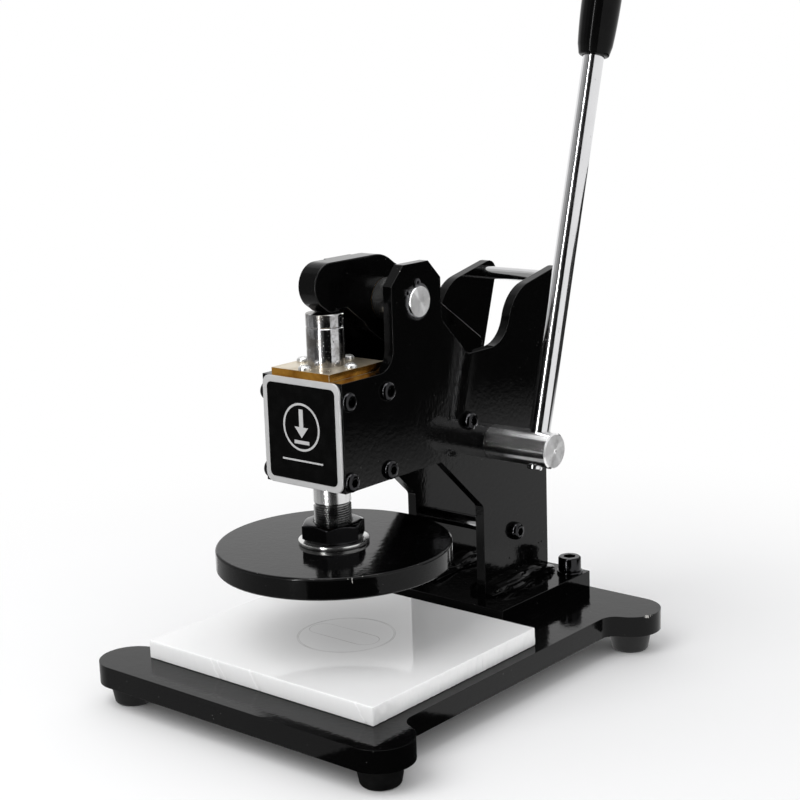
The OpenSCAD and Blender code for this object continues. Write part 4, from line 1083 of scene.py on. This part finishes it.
def studio_world():
    """White down to the horizon and just above it, grey higher up."""
    world = bpy.data.worlds.new("studio_world")
    world.use_nodes = True
    scene.world = world
    tree = world.node_tree
    way = add(tree, "TexCoord").outputs["Generated"]
    height = add(tree, "SeparateXYZ", {0: way}).outputs["Z"]
    ramp = add(tree, "ValToRGB", {"Fac": height})
    stops = ramp.color_ramp.elements
    stops[0].position, stops[0].color = 0.06, WHITE
    stops[1].position, stops[1].color = 0.75, (0.74, 0.74, 0.75, 1)
    stops.new(0.35).color = grey(0.95)
    tree.links.new(ramp.outputs[0], tree.nodes["Background"].inputs["Color"])


def softbox(name, spot, target, size, power):
    light = bpy.data.lights.new(name, "AREA")
    light.shape = "RECTANGLE"
    light.size, light.size_y = size, size
    light.energy = power
    lamp = bpy.data.objects.new(name, light)
    lamp.location = spot
    lamp.rotation_euler = (Vector(target) - Vector(spot)).to_track_quat("-Z", "Y").to_euler()
    lamp.visible_camera = False
    scene.collection.objects.link(lamp)


def reflector(name, start, end, foot, top, tone, fade=0.0):
    """Curved card round the press, or a mat below or above it, that only reflections see.

    Angles are in degrees; foot and top are each (radius, height). A card may fade from the floor's
    white below to its own tone.
    """
    steps = 16
    points = []
    for k in range(steps + 1):
        a = math.radians(start + (end - start) * k / steps)
        for radius, height in (foot, top):
            points.append((radius * math.cos(a), radius * math.sin(a), height))
    faces = [(2 * k, 2 * k + 2, 2 * k + 3, 2 * k + 1) for k in range(steps)]
    mesh = bpy.data.meshes.new(name)
    mesh.from_pydata(points, [], faces)
    made, tree = bare_material(name)
    strength = tone
    if fade:
        level = add(tree, "SeparateXYZ", {0: places(tree)}).outputs["Z"]
        strength = spread(tree, level, 0, fade, 0.9, tone)
    glow = add(tree, "Emission", {"Color": WHITE, "Strength": strength})
    add(tree, "OutputMaterial", {"Surface": glow.outputs[0]})
    mesh.materials.append(made)
    card = bpy.data.objects.new(name, mesh)
    scene.collection.objects.link(card)
    card.visible_camera = False
    card.visible_diffuse = False
    card.visible_transmission = False
    card.visible_shadow = False


def reflectors():
    facing = math.degrees(math.atan2(CAMERA_SPOT.y, CAMERA_SPOT.x))
    for name, start, end, tone in CARDS:
        foot, top = (CARD_RADIUS, MAT_HEIGHT), (CARD_RADIUS, CARD_HEIGHT)
        reflector(name, facing + start, facing + end, foot, top, tone)
    foot, top = (LAMP_RADIUS, MAT_HEIGHT), (LAMP_RADIUS, CARD_HEIGHT)
    reflector("lamp_left", facing + LAMP_START, facing + LAMP_END, foot, top, LAMP_GLOW)
    for name, start, end, radius in LOW_CARDS:
        foot, top = (radius, MAT_HEIGHT), (radius, LOW_CARD_HEIGHT)
        reflector(name, facing + start, facing + end, foot, top, LOW_CARD_GLOW, LOW_CARD_FADE)
    outer, inner = (ABOVE_OUTER, ABOVE_HEIGHT), (ABOVE_INNER, ABOVE_HEIGHT)
    reflector("mat_above", 0, 360, outer, inner, ABOVE_GLOW)
    for name, start, end, radius, tone in MATS:
        outer, inner = (radius, MAT_HEIGHT), (MAT_INNER, MAT_HEIGHT)
        reflector(name, facing + start, facing + end, outer, inner, tone)


def studio_camera():
    azimuth, elevation = math.radians(CAMERA_AZIMUTH), math.radians(CAMERA_ELEVATION)
    roll = math.radians(CAMERA_ROLL)
    back = Vector((
        math.sin(azimuth) * math.cos(elevation),
        -math.cos(azimuth) * math.cos(elevation),
        math.sin(elevation),
    ))
    right = Vector((math.cos(azimuth), math.sin(azimuth), 0))
    up = back.cross(right)
    across = right * math.cos(roll) + up * math.sin(roll)
    upward = up * math.cos(roll) - right * math.sin(roll)
    lens = bpy.data.cameras.new("studio_camera")
    lens.sensor_width = CAMERA_SENSOR
    lens.lens = CAMERA_LENS
    lens.shift_x, lens.shift_y = CAMERA_SHIFT_X, CAMERA_SHIFT_Y
    lens.clip_start, lens.clip_end = 0.05, 50
    turn = Matrix((across, upward, back)).transposed().to_4x4()
    view = bpy.data.objects.new("studio_camera", lens)
    view.matrix_world = Matrix.Translation(CAMERA_SPOT) @ turn
    scene.collection.objects.link(view)
    scene.camera = view


def build_studio():
    studio_floor()
    studio_world()
    softbox("key_soft", spot=(-0.2, -1.0, 1.4), target=(0, 0, 0.05), size=1.3, power=13)
    reflectors()
    studio_camera()
    scene.view_settings.view_transform = "Standard"


build_frame()
build_moving()
paint_kept()
build_studio()
